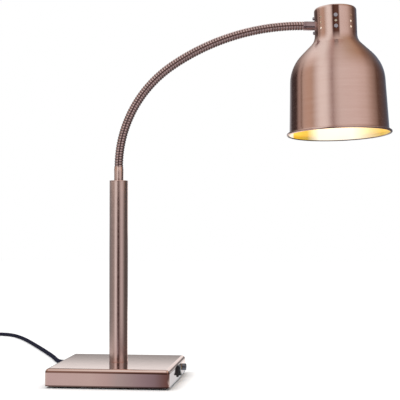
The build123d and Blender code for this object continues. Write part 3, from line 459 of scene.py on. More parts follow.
def brushed_rings():
    """Brush lines round the Z axis: noise of (radius, height) over the spacing, slowly changing around."""

    def fill(tree, given):
        place = node(tree, "ShaderNodeSeparateXYZ", {0: given["Place"]})
        x, y, z = (place.outputs[axis] for axis in "XYZ")
        square = sums(tree, "MULTIPLY_ADD", y, y, sums(tree, "MULTIPLY", x, x))
        radius = sums(tree, "MAXIMUM", sums(tree, "SQRT", square), 0.0001)
        slow = 1.4
        across = sums(tree, "MULTIPLY", sums(tree, "DIVIDE", x, radius), slow)
        beside = sums(tree, "MULTIPLY", sums(tree, "DIVIDE", y, radius), slow)
        noises = []
        for share in (1.0, 6.0):
            spacing = sums(tree, "MULTIPLY", given["Spacing"], share)
            out, up = sums(tree, "DIVIDE", radius, spacing), sums(tree, "DIVIDE", z, spacing)
            lines = node(tree, "ShaderNodeCombineXYZ", {"X": out, "Y": up, "Z": across}).outputs[0]
            values = {"Vector": lines, "W": beside, "Scale": 1.0, "Detail": 2.0, "Roughness": 0.6}
            noise = node(tree, "ShaderNodeTexNoise", values, noise_dimensions="4D")
            noises.append(noise.outputs["Fac"])
        both = sums(tree, "MULTIPLY_ADD", noises[0], 0.5, sums(tree, "MULTIPLY", noises[1], 0.5))
        level = ramp(tree, both, 0.34, 0.66)
        dull = sums(tree, "MULTIPLY", sums(tree, "SUBTRACT", 1.0, level), given["Contrast"])
        return {
            "Color": mixed(tree, dull, given["Light"], given["Deep"]),
            "Roughness": spread_about(tree, given["Roughness"], level, given["Spread"]),
            "Height": level,
        }

    inputs = {
        "Place": (0.0, 0.0, 0.0), "Light": (0.8, 0.8, 0.8, 1.0), "Deep": (0.5, 0.5, 0.5, 1.0),
        "Spacing": 0.0006, "Contrast": 0.5, "Roughness": 0.3, "Spread": 0.08,
    }
    return node_group("Brushed rings", inputs, ("Color", "Roughness", "Height"), fill)


def handling_marks():
    """Soft clouds of dull oxide and fingerprints: wide noise that tints the colour and dulls the gloss."""

    def fill(tree, given):
        values = {"Vector": given["Place"], "Scale": given["Scale"], "Detail": 3.0, "Roughness": 0.55}
        wide = node(tree, "ShaderNodeTexNoise", {**values, "Distortion": 0.4})
        level = ramp(tree, wide.outputs["Fac"], 0.40, 0.72)
        amount = sums(tree, "MULTIPLY", level, given["Amount"])
        return {
            "Color": mixed(tree, amount, given["Color"], given["Tarnish"]),
            "Roughness": sums(tree, "MULTIPLY_ADD", amount, 0.25, given["Roughness"]),
        }

    inputs = {
        "Place": (0.0, 0.0, 0.0), "Color": (0.8, 0.8, 0.8, 1.0), "Tarnish": (0.4, 0.3, 0.3, 1.0),
        "Scale": 22.0, "Amount": 0.25, "Roughness": 0.3,
    }
    return node_group("Handling marks", inputs, ("Color", "Roughness"), fill)


def fine_grain():
    """A fine speckled skin, as on moulded plastic, rubber, cast iron or glaze: a fine and a wide noise."""

    def fill(tree, given):
        scaling = {0: given["Place"], "Scale": given["Grain"]}
        place = node(tree, "ShaderNodeVectorMath", scaling, operation="SCALE").outputs[0]
        sizes = (
            {"Vector": place, "Scale": 1.0, "Detail": 4.0},
            {"Vector": place, "Scale": 0.06, "Detail": 2.0},
        )
        fine, wide = (node(tree, "ShaderNodeTexNoise", size).outputs["Fac"] for size in sizes)
        both = sums(tree, "MULTIPLY_ADD", fine, 0.6, sums(tree, "MULTIPLY", wide, 0.4))
        level = ramp(tree, both, 0.35, 0.65)
        return {
            "Color": mixed(tree, level, given["Deep"], given["Light"]),
            "Roughness": spread_about(tree, given["Roughness"], level, given["Spread"]),
            "Height": fine,
        }

    inputs = {
        "Place": (0.0, 0.0, 0.0), "Light": (0.8, 0.8, 0.8, 1.0), "Deep": (0.5, 0.5, 0.5, 1.0),
        "Grain": 1500.0, "Roughness": 0.4, "Spread": 0.1,
    }
    return node_group("Fine grain", inputs, ("Color", "Roughness", "Height"), fill)


def opaque(colour):
    """A colour with its alpha."""
    return (colour[0], colour[1], colour[2], 1.0)


def scaled(colour, share):
    """A colour made darker or lighter."""
    return tuple(min(1.0, channel * share) for channel in colour[:3])


def new_material(name):
    """An empty material, its tree and its shader. Its name starts with lamp, as the construction has a
    material for each slot under the plain name."""
    made = bpy.data.materials.new("lamp " + name)
    made.use_nodes = True
    tree = made.node_tree
    tree.nodes.clear()
    output = tree.nodes.new("ShaderNodeOutputMaterial")
    shader = tree.nodes.new("ShaderNodeBsdfPrincipled")
    tree.links.new(shader.outputs[0], output.inputs["Surface"])
    return made, tree, shader


def own_place(tree, matrix):
    """Object coordinates in the frame of a matrix."""
    place = tree.nodes.new("ShaderNodeTexCoord").outputs["Object"]
    values = {"Vector": place, "Location": matrix.to_translation(), "Rotation": matrix.to_euler()}
    return node(tree, "ShaderNodeMapping", values, vector_type="TEXTURE").outputs[0]


def banded(tree, place, colour, bands):
    """A colour with painted bands of reflection and shade. A band is (low, full, high, half width, colour):
    it fades in over the height from low to full, fades out just under high and at its sides, and is twice its
    half width wide."""
    top_fade, side_fade = 0.8 * MM, 2.6 * MM
    axes = node(tree, "ShaderNodeSeparateXYZ", {0: place}).outputs
    away = sums(tree, "ABSOLUTE", axes["X"])
    for low, full, high, half, tone in bands:
        level = [ramp(tree, axes["Z"], low, full), ramp(tree, axes["Z"], high - top_fade, high, 1.0, 0.0)]
        side = ramp(tree, away, half - side_fade, half, 1.0, 0.0)
        inside = sums(tree, "MULTIPLY", sums(tree, "MULTIPLY", *level), side)
        colour = mixed(tree, inside, colour, opaque(tone))
    return colour


def spun_metal(name, light, deep, roughness, matrix, spacing, contrast, streak=0.0, marks=0.2, bands=()):
    """Brushed or polished metal, its lines round the Z axis of a matrix, marked by hands and given painted
    bands of reflection and shade.
    """
    _, tree, shader = new_material(name)
    place = own_place(tree, matrix)
    rings = grouped(
        tree, brushed_rings(), Place=place, Light=opaque(light), Deep=opaque(deep),
        Spacing=spacing, Contrast=contrast, Roughness=roughness, Spread=roughness * 0.35,
    )
    marked = grouped(
        tree, handling_marks(), Place=place, Color=rings["Color"], Tarnish=opaque(scaled(deep, 0.8)),
        Amount=marks, Roughness=rings["Roughness"],
    )
    bump = node(tree, "ShaderNodeBump", {"Height": rings["Height"], "Strength": 0.25, "Distance": 0.00004})
    colour = banded(tree, place, marked["Color"], bands)
    feed(tree, shader, {"Base Color": colour, "Roughness": marked["Roughness"], "Normal": bump.outputs[0]})
    shader.inputs["Metallic"].default_value = 1.0
    if streak:
        tangent = node(tree, "ShaderNodeTangent", direction_type="UV_MAP", uv_map="UVMap")
        feed(tree, shader, {"Tangent": tangent.outputs[0]})
        shader.inputs["Anisotropic"].default_value = streak
        shader.inputs["Anisotropic Rotation"].default_value = 0.25


def grained(name, light, deep, roughness, grain, metallic, depth, coat=0.0, shine=0.5, bend=1.45):
    """A moulded, cast or glazed skin. Shine is its specular level and bend its index of refraction: a skin
    that stays dark at a flat angle has little of both."""
    _, tree, shader = new_material(name)
    place = tree.nodes.new("ShaderNodeTexCoord").outputs["Object"]
    skin = grouped(
        tree, fine_grain(), Place=place, Light=opaque(light), Deep=opaque(deep),
        Grain=grain, Roughness=roughness, Spread=roughness * 0.3,
    )
    bump = node(tree, "ShaderNodeBump", {"Height": skin["Height"], "Strength": 0.4, "Distance": depth})
    feed(tree, shader, {
        "Base Color": skin["Color"], "Roughness": skin["Roughness"], "Normal": bump.outputs[0],
    })
    shader.inputs["Metallic"].default_value = metallic
    shader.inputs["Coat Weight"].default_value = coat
    shader.inputs["Specular IOR Level"].default_value = shine
    shader.inputs["IOR"].default_value = bend


def neck_metal(light):
    """Copper strip of the neck. Its mesh carries how deep in a groove each point lies, and the grooves are
    painted dark as shade. The sine of the way round is 1 on top. The strip gets a painted highlight there and
    on both sides of a painted dark reflection line where it is -0.06."""
    _, tree, shader = new_material("copper_neck")
    depth = node(tree, "ShaderNodeAttribute", attribute_name="groove").outputs["Fac"]
    place = tree.nodes.new("ShaderNodeTexCoord").outputs["Object"]
    way = node(tree, "ShaderNodeUVMap", uv_map="UVMap").outputs[0]
    turn = node(tree, "ShaderNodeSeparateXYZ", {0: way}).outputs["X"]
    sine = sums(tree, "SINE", sums(tree, "MULTIPLY", turn, 2 * math.pi))
    # Painted reflections: a highlight on top and on both sides of a dark line
    off_line = sums(tree, "ABSOLUTE", sums(tree, "ADD", sine, 0.06))
    beside = ramp(tree, off_line, 0.35, 0.75, 0.6, 0.0)
    on_top = ramp(tree, sine, 0.6, 0.8, 0.0, 0.95)
    painted_highlight = sums(tree, "ADD", sums(tree, "ADD", beside, on_top), 0.08)
    strip = mixed(tree, painted_highlight, opaque(scaled(light, 0.92)), opaque(scaled(light, 2.4)))
    # The painted dark reflection line
    line = ramp(tree, off_line, 0.12, 0.24, 0.95, 0.0)
    strip = mixed(tree, line, strip, (0.10, 0.032, 0.026, 1.0))
    marked = grouped(
        tree, handling_marks(), Place=place, Color=strip, Tarnish=opaque(scaled(light, 0.7)),
        Scale=60.0, Amount=0.35, Roughness=0.26,
    )
    # Painted shade in the grooves
    groove_shade = ramp(tree, depth, 0.35, 0.95)
    colour = mixed(tree, groove_shade, marked["Color"], opaque(scaled(light, 0.27)))
    dulled = sums(tree, "MULTIPLY_ADD", groove_shade, 0.3, marked["Roughness"])
    feed(tree, shader, {"Base Color": colour, "Roughness": dulled})
    shader.inputs["Metallic"].default_value = 1.0


def shade_lining(light, glow):
    """The shade's golden inner face with the bulb's light painted on as its own glow, by its own X and Z.
    Along X the painted light is white-hot in the middle and at the very edge on the neck's side, deep yellow
    beside that edge and pale gold on the other side. Along Z the painted light fades up the bell, and the
    lower half of the crown is lit again."""
    _, tree, shader = new_material("shade_inside")
    place = own_place(tree, HEAD)
    axes = node(tree, "ShaderNodeSeparateXYZ", {0: place})
    across, height = axes.outputs["X"], axes.outputs["Z"]
    rings = grouped(
        tree, brushed_rings(), Place=place, Light=opaque(light), Deep=opaque(scaled(light, 0.8)),
        Spacing=0.0006, Contrast=0.4, Roughness=0.34, Spread=0.1,
    )
    rising, falling = ramp(tree, across, -0.058, -0.036), ramp(tree, across, 0.026, 0.078, 1.0, 0.0)
    edge = ramp(tree, across, -0.0845, -0.0815, 0.9, 0.0)
    hot = sums(tree, "MAXIMUM", sums(tree, "MULTIPLY", rising, falling), edge)
    neck_side = ramp(tree, across, -0.078, -0.056, 1.0, 0.0)
    gold = mixed(tree, neck_side, (0.50, 0.35, 0.06, 1.0), (0.80, 0.45, 0.015, 1.0))
    tone = mixed(tree, hot, gold, (1.0, 0.96, 0.86, 1.0))
    bell = ramp(tree, height, -0.150, -0.090, 1.0, 0.10)
    crown = [ramp(tree, height, -0.04, -0.02), ramp(tree, height, 0.018, 0.022, 0.8, 0.0)]
    level = sums(tree, "MAXIMUM", bell, sums(tree, "MULTIPLY", *crown))
    # The painted glow: the bulb's light given as the inner face's own emission
    lit = mixed(tree, level, (0.0, 0.0, 0.0, 1.0), tone)
    feed(tree, shader, {"Base Color": rings["Color"], "Roughness": rings["Roughness"], "Emission Color": lit})
    shader.inputs["Emission Strength"].default_value = glow
    shader.inputs["Metallic"].default_value = 1.0


def bulb_skin(glow, strength):
    """The bulb's glass: silvered above its widest ring, frosted and lit below."""
    _, tree, shader = new_material("bulb_glass")
    place = own_place(tree, HEAD)
    height = node(tree, "ShaderNodeSeparateXYZ", {0: place}).outputs["Z"]
    silver = ramp(tree, height, -0.150, -0.143)
    frost = grouped(
        tree, fine_grain(), Place=place, Light=(0.92, 0.88, 0.80, 1.0), Deep=(0.84, 0.79, 0.70, 1.0),
        Grain=900.0, Roughness=0.34, Spread=0.1,
    )
    lit = mixed(tree, silver, opaque(glow), opaque(scaled(glow, 0.06)))
    feed(tree, shader, {
        "Base Color": frost["Color"], "Roughness": frost["Roughness"], "Emission Color": lit,
        "Metallic": sums(tree, "MULTIPLY", silver, 0.9),
    })
    shader.inputs["Emission Strength"].default_value = strength


def make_finishes(context):
    """All finishes, each made once."""
    chosen = context.scene.lamp_finishes
    if bpy.data.materials.get("lamp copper_spun"):
        return
    light, deep = chosen.copper_light, chosen.copper_deep
    gloss, lines = chosen.copper_gloss, chosen.brush_spacing
    grey, steel, black, jacket = chosen.ferrule_colour, chosen.steel, chosen.black, chosen.jacket
    upright = Matrix.Identity(4)
    lying = FERRULE @ Matrix.Rotation(math.radians(90), 4, "Y")
    # A painted reflection: the dark stripe round the crown's screws
    painted_screw_reflection = ((-31 * MM, -17 * MM, 31 * MM, 7.4 * MM, (0.125, 0.052, 0.036)),)
    # Painted dark lines: a painted reflection on the rounded top edge of the cover, and painted shade along
    # its foot
    edges = (
        (22.4 * MM, 23.2 * MM, 26.8 * MM, 1.0, (0.24, 0.115, 0.083)),
        (-3 * MM, -2 * MM, 1.6 * MM, 1.0, scaled(deep, 0.34)),
    )
    # Name, light and deep colour, roughness, frame of the lines, their spacing and contrast, how far the
    # gloss is drawn out, amount of marks, bands
    for metal in (
        ("copper_spun", light, deep, gloss, HEAD, lines, 0.35, 0.5, 0.06, painted_screw_reflection),
        ("copper_post", light, deep, gloss, upright, lines, 0.12, 0.4, 0.06),
        ("copper_ferrule", grey, scaled(grey, 0.75), gloss, lying, lines, 0.2, 0.4, 0.06),
        # The rim: copper at about a third of its brightness, a painted dark line of shade
        ("copper_rim", scaled(light, 0.36), scaled(deep, 0.36), gloss, HEAD, lines, 0.2, 0.0, 0.06),
        ("copper_base", light, deep, gloss * 0.3, upright, lines * 3, 0.10, 0.0, 0.05, edges),
        ("screw_steel", steel, scaled(steel, 0.7), 0.14, HEAD, 0.0003, 0.3),
        ("zinc_plate", (0.50, 0.51, 0.50), (0.38, 0.39, 0.40), 0.42, upright, 0.004, 0.4),
        ("brass", (0.78, 0.60, 0.30), (0.58, 0.42, 0.20), 0.30, upright, 0.0006, 0.5),
        ("knob_chrome", (0.17, 0.17, 0.19), (0.11, 0.11, 0.12), 0.28, upright, 0.0004, 0.4),
        ("filament", (0.6, 0.58, 0.55), (0.4, 0.38, 0.36), 0.4, HEAD, 0.0004, 0.4),
    ):
        spun_metal(*metal)
    # Name, light and deep colour, roughness, grains to the metre, metallic share, depth of the grain in
    # metres, coat, shine, bend
    for skin in (
        ("cast_iron", (0.075, 0.072, 0.070), (0.035, 0.033, 0.032), 0.62, 700.0, 0.2, 0.0002),
        ("black_rubber", (0.030, 0.030, 0.031), (0.016, 0.016, 0.017), 0.62, 1200.0, 0.0, 0.00006),
        # Black paint that also stands in for the shade in the gap under the base
        ("black_paint", (0.012, 0.011, 0.011), (0.007, 0.006, 0.006), 0.6, 900.0, 0, 0.00003, 0.0, 0.1, 1.15),
        ("black_plastic", scaled(black, 1.25), scaled(black, 0.75), 0.34, 1600.0, 0.0, 0.00002, 0.1),
        ("cord_jacket", scaled(jacket, 1.3), scaled(jacket, 0.8), 0.70, 500.0, 0.0, 0.00003, 0.0, 0.05, 1.10),
        ("lead_jacket", (0.72, 0.71, 0.67), (0.60, 0.58, 0.54), 0.45, 600.0, 0.0, 0.00003),
        ("holder_ceramic", (0.86, 0.85, 0.81), (0.78, 0.76, 0.71), 0.22, 300.0, 0.0, 0.00003, 0.4),
    ):
        grained(*skin)
    neck_metal(chosen.neck_colour)
    # The lining's painted glow follows the bulb's glow strength
    shade_lining(chosen.inside_light, chosen.glow_strength / 9)
    bulb_skin(chosen.glow, chosen.glow_strength / 3)


def finish(name):
    """A finish by its name."""
    found = bpy.data.materials.get("lamp " + name)
    if found is None:
        raise RuntimeError(f"there is no finish {name}")
    return found


def dress(names, material):
    """Give construction nodes a finish."""
    for name in names:
        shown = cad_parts[name]
        shown.data.materials.clear()
        shown.data.materials.append(finish(material))


# Camera and cord


class LAMP_OT_camera(bpy.types.Operator):
    """Place the camera where the photograph was taken"""

    bl_idname = "lamp.camera"
    bl_label = "Camera"

    def execute(self, context):
        data = bpy.data.cameras.new("camera")
        data.lens = 95.3
        data.sensor_width = 36.0
        data.clip_start = 0.05
        camera = bpy.data.objects.new("camera", data)
        camera.location = (0.3682, -1.9204, 0.2820)
        camera.rotation_euler = (math.radians(91.30), 0.0, math.radians(6.466))
        context.scene.collection.objects.link(camera)
        context.scene.camera = camera
        return {"FINISHED"}


def coil_points():
    """Points of the coil: a circle whose radius shrinks by the pitch each turn to the middle and grows back,
    and whose level rises by the climb in the half turn about the middle."""
    turn = np.arange(0, COIL_TURNS + 0.5 / COIL_POINTS, 1 / COIL_POINTS)
    middle = COIL_TURNS / 2
    radius = COIL_RADIUS - COIL_PITCH * (middle - np.abs(turn - middle))
    level = CORD_LEVEL + COIL_CLIMB * np.clip((turn - middle) * 2 + 0.5, 0, 1)
    angle = np.radians(-90 - 360 * turn)
    x = COIL_CENTRE[0] + radius * np.cos(angle)
    y = COIL_CENTRE[1] + radius * np.sin(angle)
    return np.stack([x, y, level], 1)


class LAMP_OT_cord(bpy.types.Operator):
    """Lay the cord from the boot to its coil and its plug"""

    bl_idname = "lamp.cord"
    bl_label = "Cord"

    def execute(self, context):
        make_finishes(context)
        sizes = context.scene.lamp_sizes
        route = np.concatenate([CORD_ROUTE, coil_points(), TAIL_ROUTE])
        curve = bpy.data.curves.new("mains_cord", "CURVE")
        curve.dimensions = "3D"
        spline = curve.splines.new("NURBS")
        spline.points.add(len(route) - 1)
        weighted = np.concatenate([route, np.ones((len(route), 1))], 1)
        spline.points.foreach_set("co", weighted.reshape(-1))
        spline.order_u = 3
        spline.use_endpoint_u = True
        spline.resolution_u = 6
        curve.bevel_depth = sizes.cord_radius
        curve.bevel_resolution = 6
        curve.use_fill_caps = True
        curve.materials.append(finish("cord_jacket"))
        cord = bpy.data.objects.new("mains_cord", curve)
        context.scene.collection.objects.link(cord)
        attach(cord, "stand")
        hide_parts("power_cord", "cord_coil", "cord_tail")
        dress(["plug_body"], "black_plastic")
        dress(["plug_pins"], "brass")
        dress(["strain_relief"], "black_rubber")
        dress(["supply_tail"], "cord_jacket")
        return {"FINISHED"}


# Neck


def neck_ring_axes(angle):
    """The two directions square to the neck's line: along Y, and the line's direction crossed with Y."""
    return sheet(0 * angle, 1.0, 0.0), sheet(-np.cos(angle), 0.0, np.sin(angle))


def tube_rows(distance, radius):
    """Rings round the neck's line: the centre at each distance plus radius (cos a sideways + sin a over)."""
    centre, angle = neck_line(distance)
    side, over = neck_ring_axes(angle)
    around = np.linspace(0, 2 * np.pi, radius.shape[1], endpoint=False)
    ring = side[:, None] * np.cos(around)[None, :, None] + over[:, None] * np.sin(around)[None, :, None]
    return centre[:, None] + radius[:, :, None] * ring


def rib_bead(distance, columns):
    """How high each point stands on its rib, from 0 in a groove to 1 on a crest. The strip winds as a helix:
    the phase is distance over pitch less the share of a turn, and the bead 1 - |phase / 0.43 - 1| ^ 2.6."""
    around = np.arange(columns)[None, :] / columns
    phase = np.mod((distance[:, None] + GROOVE_BEFORE_PIVOT) / RIB_PITCH - around, 1.0)
    return np.clip(1 - np.abs((phase - 0.43) / 0.43) ** 2.6, 0, 1)


def neck_piece(context, name, start, end):
    """A stretch of the wound neck with its bore, and the lead inside it. The bright pieces near it don't
    mirror it, as its ribs would draw jagged lines on them."""
    sizes = context.scene.lamp_sizes
    columns, rows_per_rib, bore_rings = 64, 14, 7
    outer = np.linspace(start, end, round((end - start) / RIB_PITCH * rows_per_rib) + 1)
    bead = rib_bead(outer, columns)
    shell = tube_rows(outer, sizes.rib_groove + (sizes.rib_crest - sizes.rib_groove) * bead)
    bore = tube_rows(np.linspace(end, start, bore_rings), np.full((bore_rings, columns), NECK_BORE))
    rows = np.concatenate([shell, bore, shell[:1]])
    groove = np.concatenate([1 - bead, np.ones((bore_rings, columns)), 1 - bead[:1]])
    lead_radius = np.full((9, 24), LEAD_RADIUS)
    lead_radius[0] = lead_radius[-1] = 0.0
    stations = np.concatenate([[start], np.linspace(start, end, 7), [end]])
    lead = tube_rows(stations, lead_radius)
    values = {"groove": np.concatenate([groove.reshape(-1), np.zeros(lead.shape[0] * lead.shape[1])])}
    parts = [outward(part_of(rows)), outward(part_of(lead, 1))]
    made = make_piece(name, parts, [finish("copper_neck"), finish("lead_jacket")], values, sharp=70.0)
    made.visible_glossy = False
    return made


class LAMP_OT_neck(bpy.types.Operator):
    """Wind the flexible neck from ribbed pieces, one curved over each of its twelve pivots"""

    bl_idname = "lamp.neck"
    bl_label = "Neck"

    def execute(self, context):
        make_finishes(context)
        half = SECTION / 2
        foot = neck_piece(context, "neck_foot", 0.0, half)
        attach(foot, "stand")
        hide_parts("neck_section_01", "neck_lead")
        for number in range(1, SECTIONS):
            pivot = number * SECTION
            piece = neck_piece(context, f"neck_bend_{number:02d}", pivot - half, pivot + half)
            ends, _ = neck_line(np.array([pivot - half, pivot + half]))
            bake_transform(piece)
            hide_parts(f"neck_section_{number + 1:02d}")
        tip = neck_piece(context, "neck_tip", SECTIONS * SECTION - half, SECTIONS * SECTION)
        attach(tip, "head")
        return {"FINISHED"}


# Shade


def bell_outline(sizes, inset, fine):
    """One face of the bell's wall from its axis to the end of the skirt, as (radius, height): a flat crown,
    its rounded corner, the crown's wall, a hollow arc to 45 degrees, a slope, a full arc and a skirt that
    widens. With it come the numbers of the first and the last point of the crown's pierced wall."""
    crown = sizes.crown_radius
    corner = (crown - CROWN_CORNER, CROWN_TOP - CROWN_CORNER)
    flare = (crown + FLARE_RADIUS, FLARE_TOP)
    diagonal = math.sqrt(0.5) * np.ones(2)
    slope_top = np.array(flare) - FLARE_RADIUS * diagonal
    shoulder = slope_top + SLOPE_RUN * np.array([1, -1]) - SHOULDER_RADIUS * diagonal
    wall, rounding = crown - inset, CROWN_CORNER - inset
    hollow, full = FLARE_RADIUS + inset, SHOULDER_RADIUS - inset
    steps = (5, 7, 2, 45, 2, 9, 4, 18, 10) if fine else (3, 4, 2, 45, 2, 5, 2, 9, 6)
    vent_top, vent_bottom = 19.0 * MM, -12.0 * MM
    skirt_top = shoulder + full * heading(SKIRT_ANGLE)
    widening = (skirt_top[1] - SKIRT_END) * math.tan(math.radians(SKIRT_ANGLE))
    return joined(
        straight_run((0.0, CROWN_TOP - inset), (corner[0], CROWN_TOP - inset), steps[0]),
        arc_run(corner, rounding, 90, 0, steps[1]),
        straight_run((wall, corner[1]), (wall, vent_top), steps[2]),
        straight_run((wall, vent_top), (wall, vent_bottom), steps[3]),
        straight_run((wall, vent_bottom), (wall, FLARE_TOP), steps[4]),
        arc_run(flare, hollow, 180, 225, steps[5]),
        straight_run(np.array(flare) - hollow * diagonal, shoulder + full * diagonal, steps[6]),
        arc_run(shoulder, full, 45, SKIRT_ANGLE, steps[7]),
        straight_run(skirt_top, (skirt_top[0] + widening, SKIRT_END), steps[8]),
    ), sum(steps[:3]), sum(steps[:4])


def pull_to_holes(angle, height, crown, holes):
    """Points near a hole's edge, by less than 0.72 of a grid step, move onto its circle. Distances are on the
    unrolled crown wall. Returns the new angles and heights, and each point's hole by number, 0 for none."""
    step = np.hypot(crown * (angle[0, 1] - angle[0, 0]), height[0, 0] - height[1, 0]) * 0.72
    inside = np.zeros(angle.shape, int)
    for number, (azimuth, level, radius) in enumerate(holes, 1):
        turn = np.mod(angle - math.radians(azimuth) + np.pi, 2 * np.pi) - np.pi
        across, up = crown * turn, height - level
        away = np.maximum(np.hypot(across, up), 1e-9)
        near = np.abs(away - radius) < step
        share = np.where(near, radius / away, 1.0)
        angle = np.where(near, angle + (share - 1) * across / crown, angle)
        height = np.where(near, level + share * up, height)
        inside[near | (away < radius)] = number
    return angle, height, inside


def pierced(part, inside):
    """Take out the faces whose four corners lie in one hole, and say which they were."""
    marks = inside.reshape(-1)[part["faces"]]
    hole = (marks > 0).all(1) & (marks == marks[:, :1]).all(1)
    for key in ("faces", "uv", "material"):
        part[key] = part[key][~hole]
    return part, hole


class LAMP_OT_shade(bpy.types.Operator):
    """Spin the bell shade with its vents and rolled rim"""

    bl_idname = "lamp.shade"
    bl_label = "Shade"

    def execute(self, context):
        make_finishes(context)
        sizes = context.scene.lamp_sizes
        columns = 360
        outer, top, bottom = bell_outline(sizes, 0.0, True)
        inner, inner_top, inner_bottom = bell_outline(sizes, sizes.shade_wall, False)
        bead = np.array(BEAD_CENTRE)
        bead_top = bead + BEAD_RADIUS * np.array([-math.sqrt(0.5), math.sqrt(0.5)])
        bead_inner = bead + np.array([-BEAD_RADIUS, 0.0])
        lip_steps = 5
        outline = joined(
            outer,
            bow_run(outer[-1], (outer[-1][0] + 0.3 * MM, bead_top[1] + 1.5 * MM), bead_top, lip_steps),
            arc_run(BEAD_CENTRE, BEAD_RADIUS, 135, -180, 16),
            bow_run(bead_inner, (inner[-1][0] + 0.2 * MM, bead_inner[1] + 1.8 * MM), inner[-1], 4),
            inner[::-1],
        )
        angle = np.tile(np.linspace(0, 2 * np.pi, columns, endpoint=False), (len(outline), 1))
        radius = np.tile(outline[:, :1], (1, columns))
        height = np.tile(outline[:, 1:], (1, columns))
        holes = [(azimuth, level, sizes.vent_radius) for azimuth in VENT_COLUMNS for level in VENT_ROWS]
        holder_hole, spigot_hole, neck_hole = 2.1 * MM, 5.2 * MM, 1.6 * MM
        for azimuth in (90, -90):
            holes.append((azimuth, VENT_ROWS[1], sizes.vent_radius))
            holes += [(azimuth, level, holder_hole) for level in HOLDER_SCREW_ROWS]
        holes.append((180, FERRULE_LEVEL, spigot_hole))
        holes += [(180, level, neck_hole) for level in NECK_SCREW_ROWS]
        inside = np.zeros(angle.shape, int)
        outer_wall = slice(top, bottom + 1)
        last = len(outline) - 1
        inner_wall = slice(last - inner_bottom, last - inner_top + 1)
        pulled = pull_to_holes(angle[outer_wall], height[outer_wall], sizes.crown_radius, holes)
        for rows, order in ((outer_wall, 1), (inner_wall, -1)):
            angle[rows], height[rows], inside[rows] = (values[::order] for values in pulled)
        part = part_of(placed(sheet(radius * np.cos(angle), radius * np.sin(angle), height), HEAD))
        # The bead's rows on the inner side are the rim, number 2, in copper darkened as painted shade. The
        # lining, number 1, follows.
        bead_start = len(outer) - 1 + lip_steps
        row_of_face = np.repeat(np.arange(last), columns)
        part["material"] = 2 * (row_of_face >= bead_start + 11) - (row_of_face >= bead_start + 15)
        flat = part["faces"].copy()
        part, hole = pierced(part, inside)
        walls = hole_walls(flat, hole, columns, last, top - inner_top)
        added = {"faces": walls, "uv": np.zeros((len(walls), 4, 2)), "material": np.zeros(len(walls), int)}
        for key, values in added.items():
            part[key] = np.concatenate([part[key], values])
        finishes = [finish("copper_spun"), finish("shade_inside"), finish("copper_rim")]
        made = make_piece("shade_bell", [outward(part)], finishes)
        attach(made, "head")
        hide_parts("shade")
        return {"FINISHED"}


def hole_walls(faces, hole, columns, last, shift):
    """Quads through the wall at the edge of each hole: an edge of a face that was taken out, whose neighbour
    stayed, joins its twin on the inner wall, where outer row r has its twin in row last - (r - shift)."""
    rows = faces[:, 0] // columns
    outer_hole = hole & (rows < last // 2)
    kept = ~hole & (rows < last // 2)
    edge_ends = [(0, 1), (1, 2), (2, 3), (3, 0)]
    gone = np.concatenate([faces[outer_hole][:, list(pair)] for pair in edge_ends])
    stay = np.concatenate([faces[kept][:, list(pair)] for pair in edge_ends])
    size = faces.max() + 1
    stay_keys = stay[:, 1] * size + stay[:, 0]
    gone_keys = gone[:, 0] * size + gone[:, 1]
    border = gone[np.isin(gone_keys, stay_keys)]
    row, column = border // columns, border % columns
    twin = (last - row + shift) * columns + column
    return np.stack([border[:, 0], border[:, 1], twin[:, 1], twin[:, 0]], 1)


# Post and ferrules


def turned_piece(name, outline, columns):
    """A piece of the post, turned from its outline."""
    return make_piece(name, [outward(part_of(turned_rows(outline, columns)))], [finish("copper_post")])


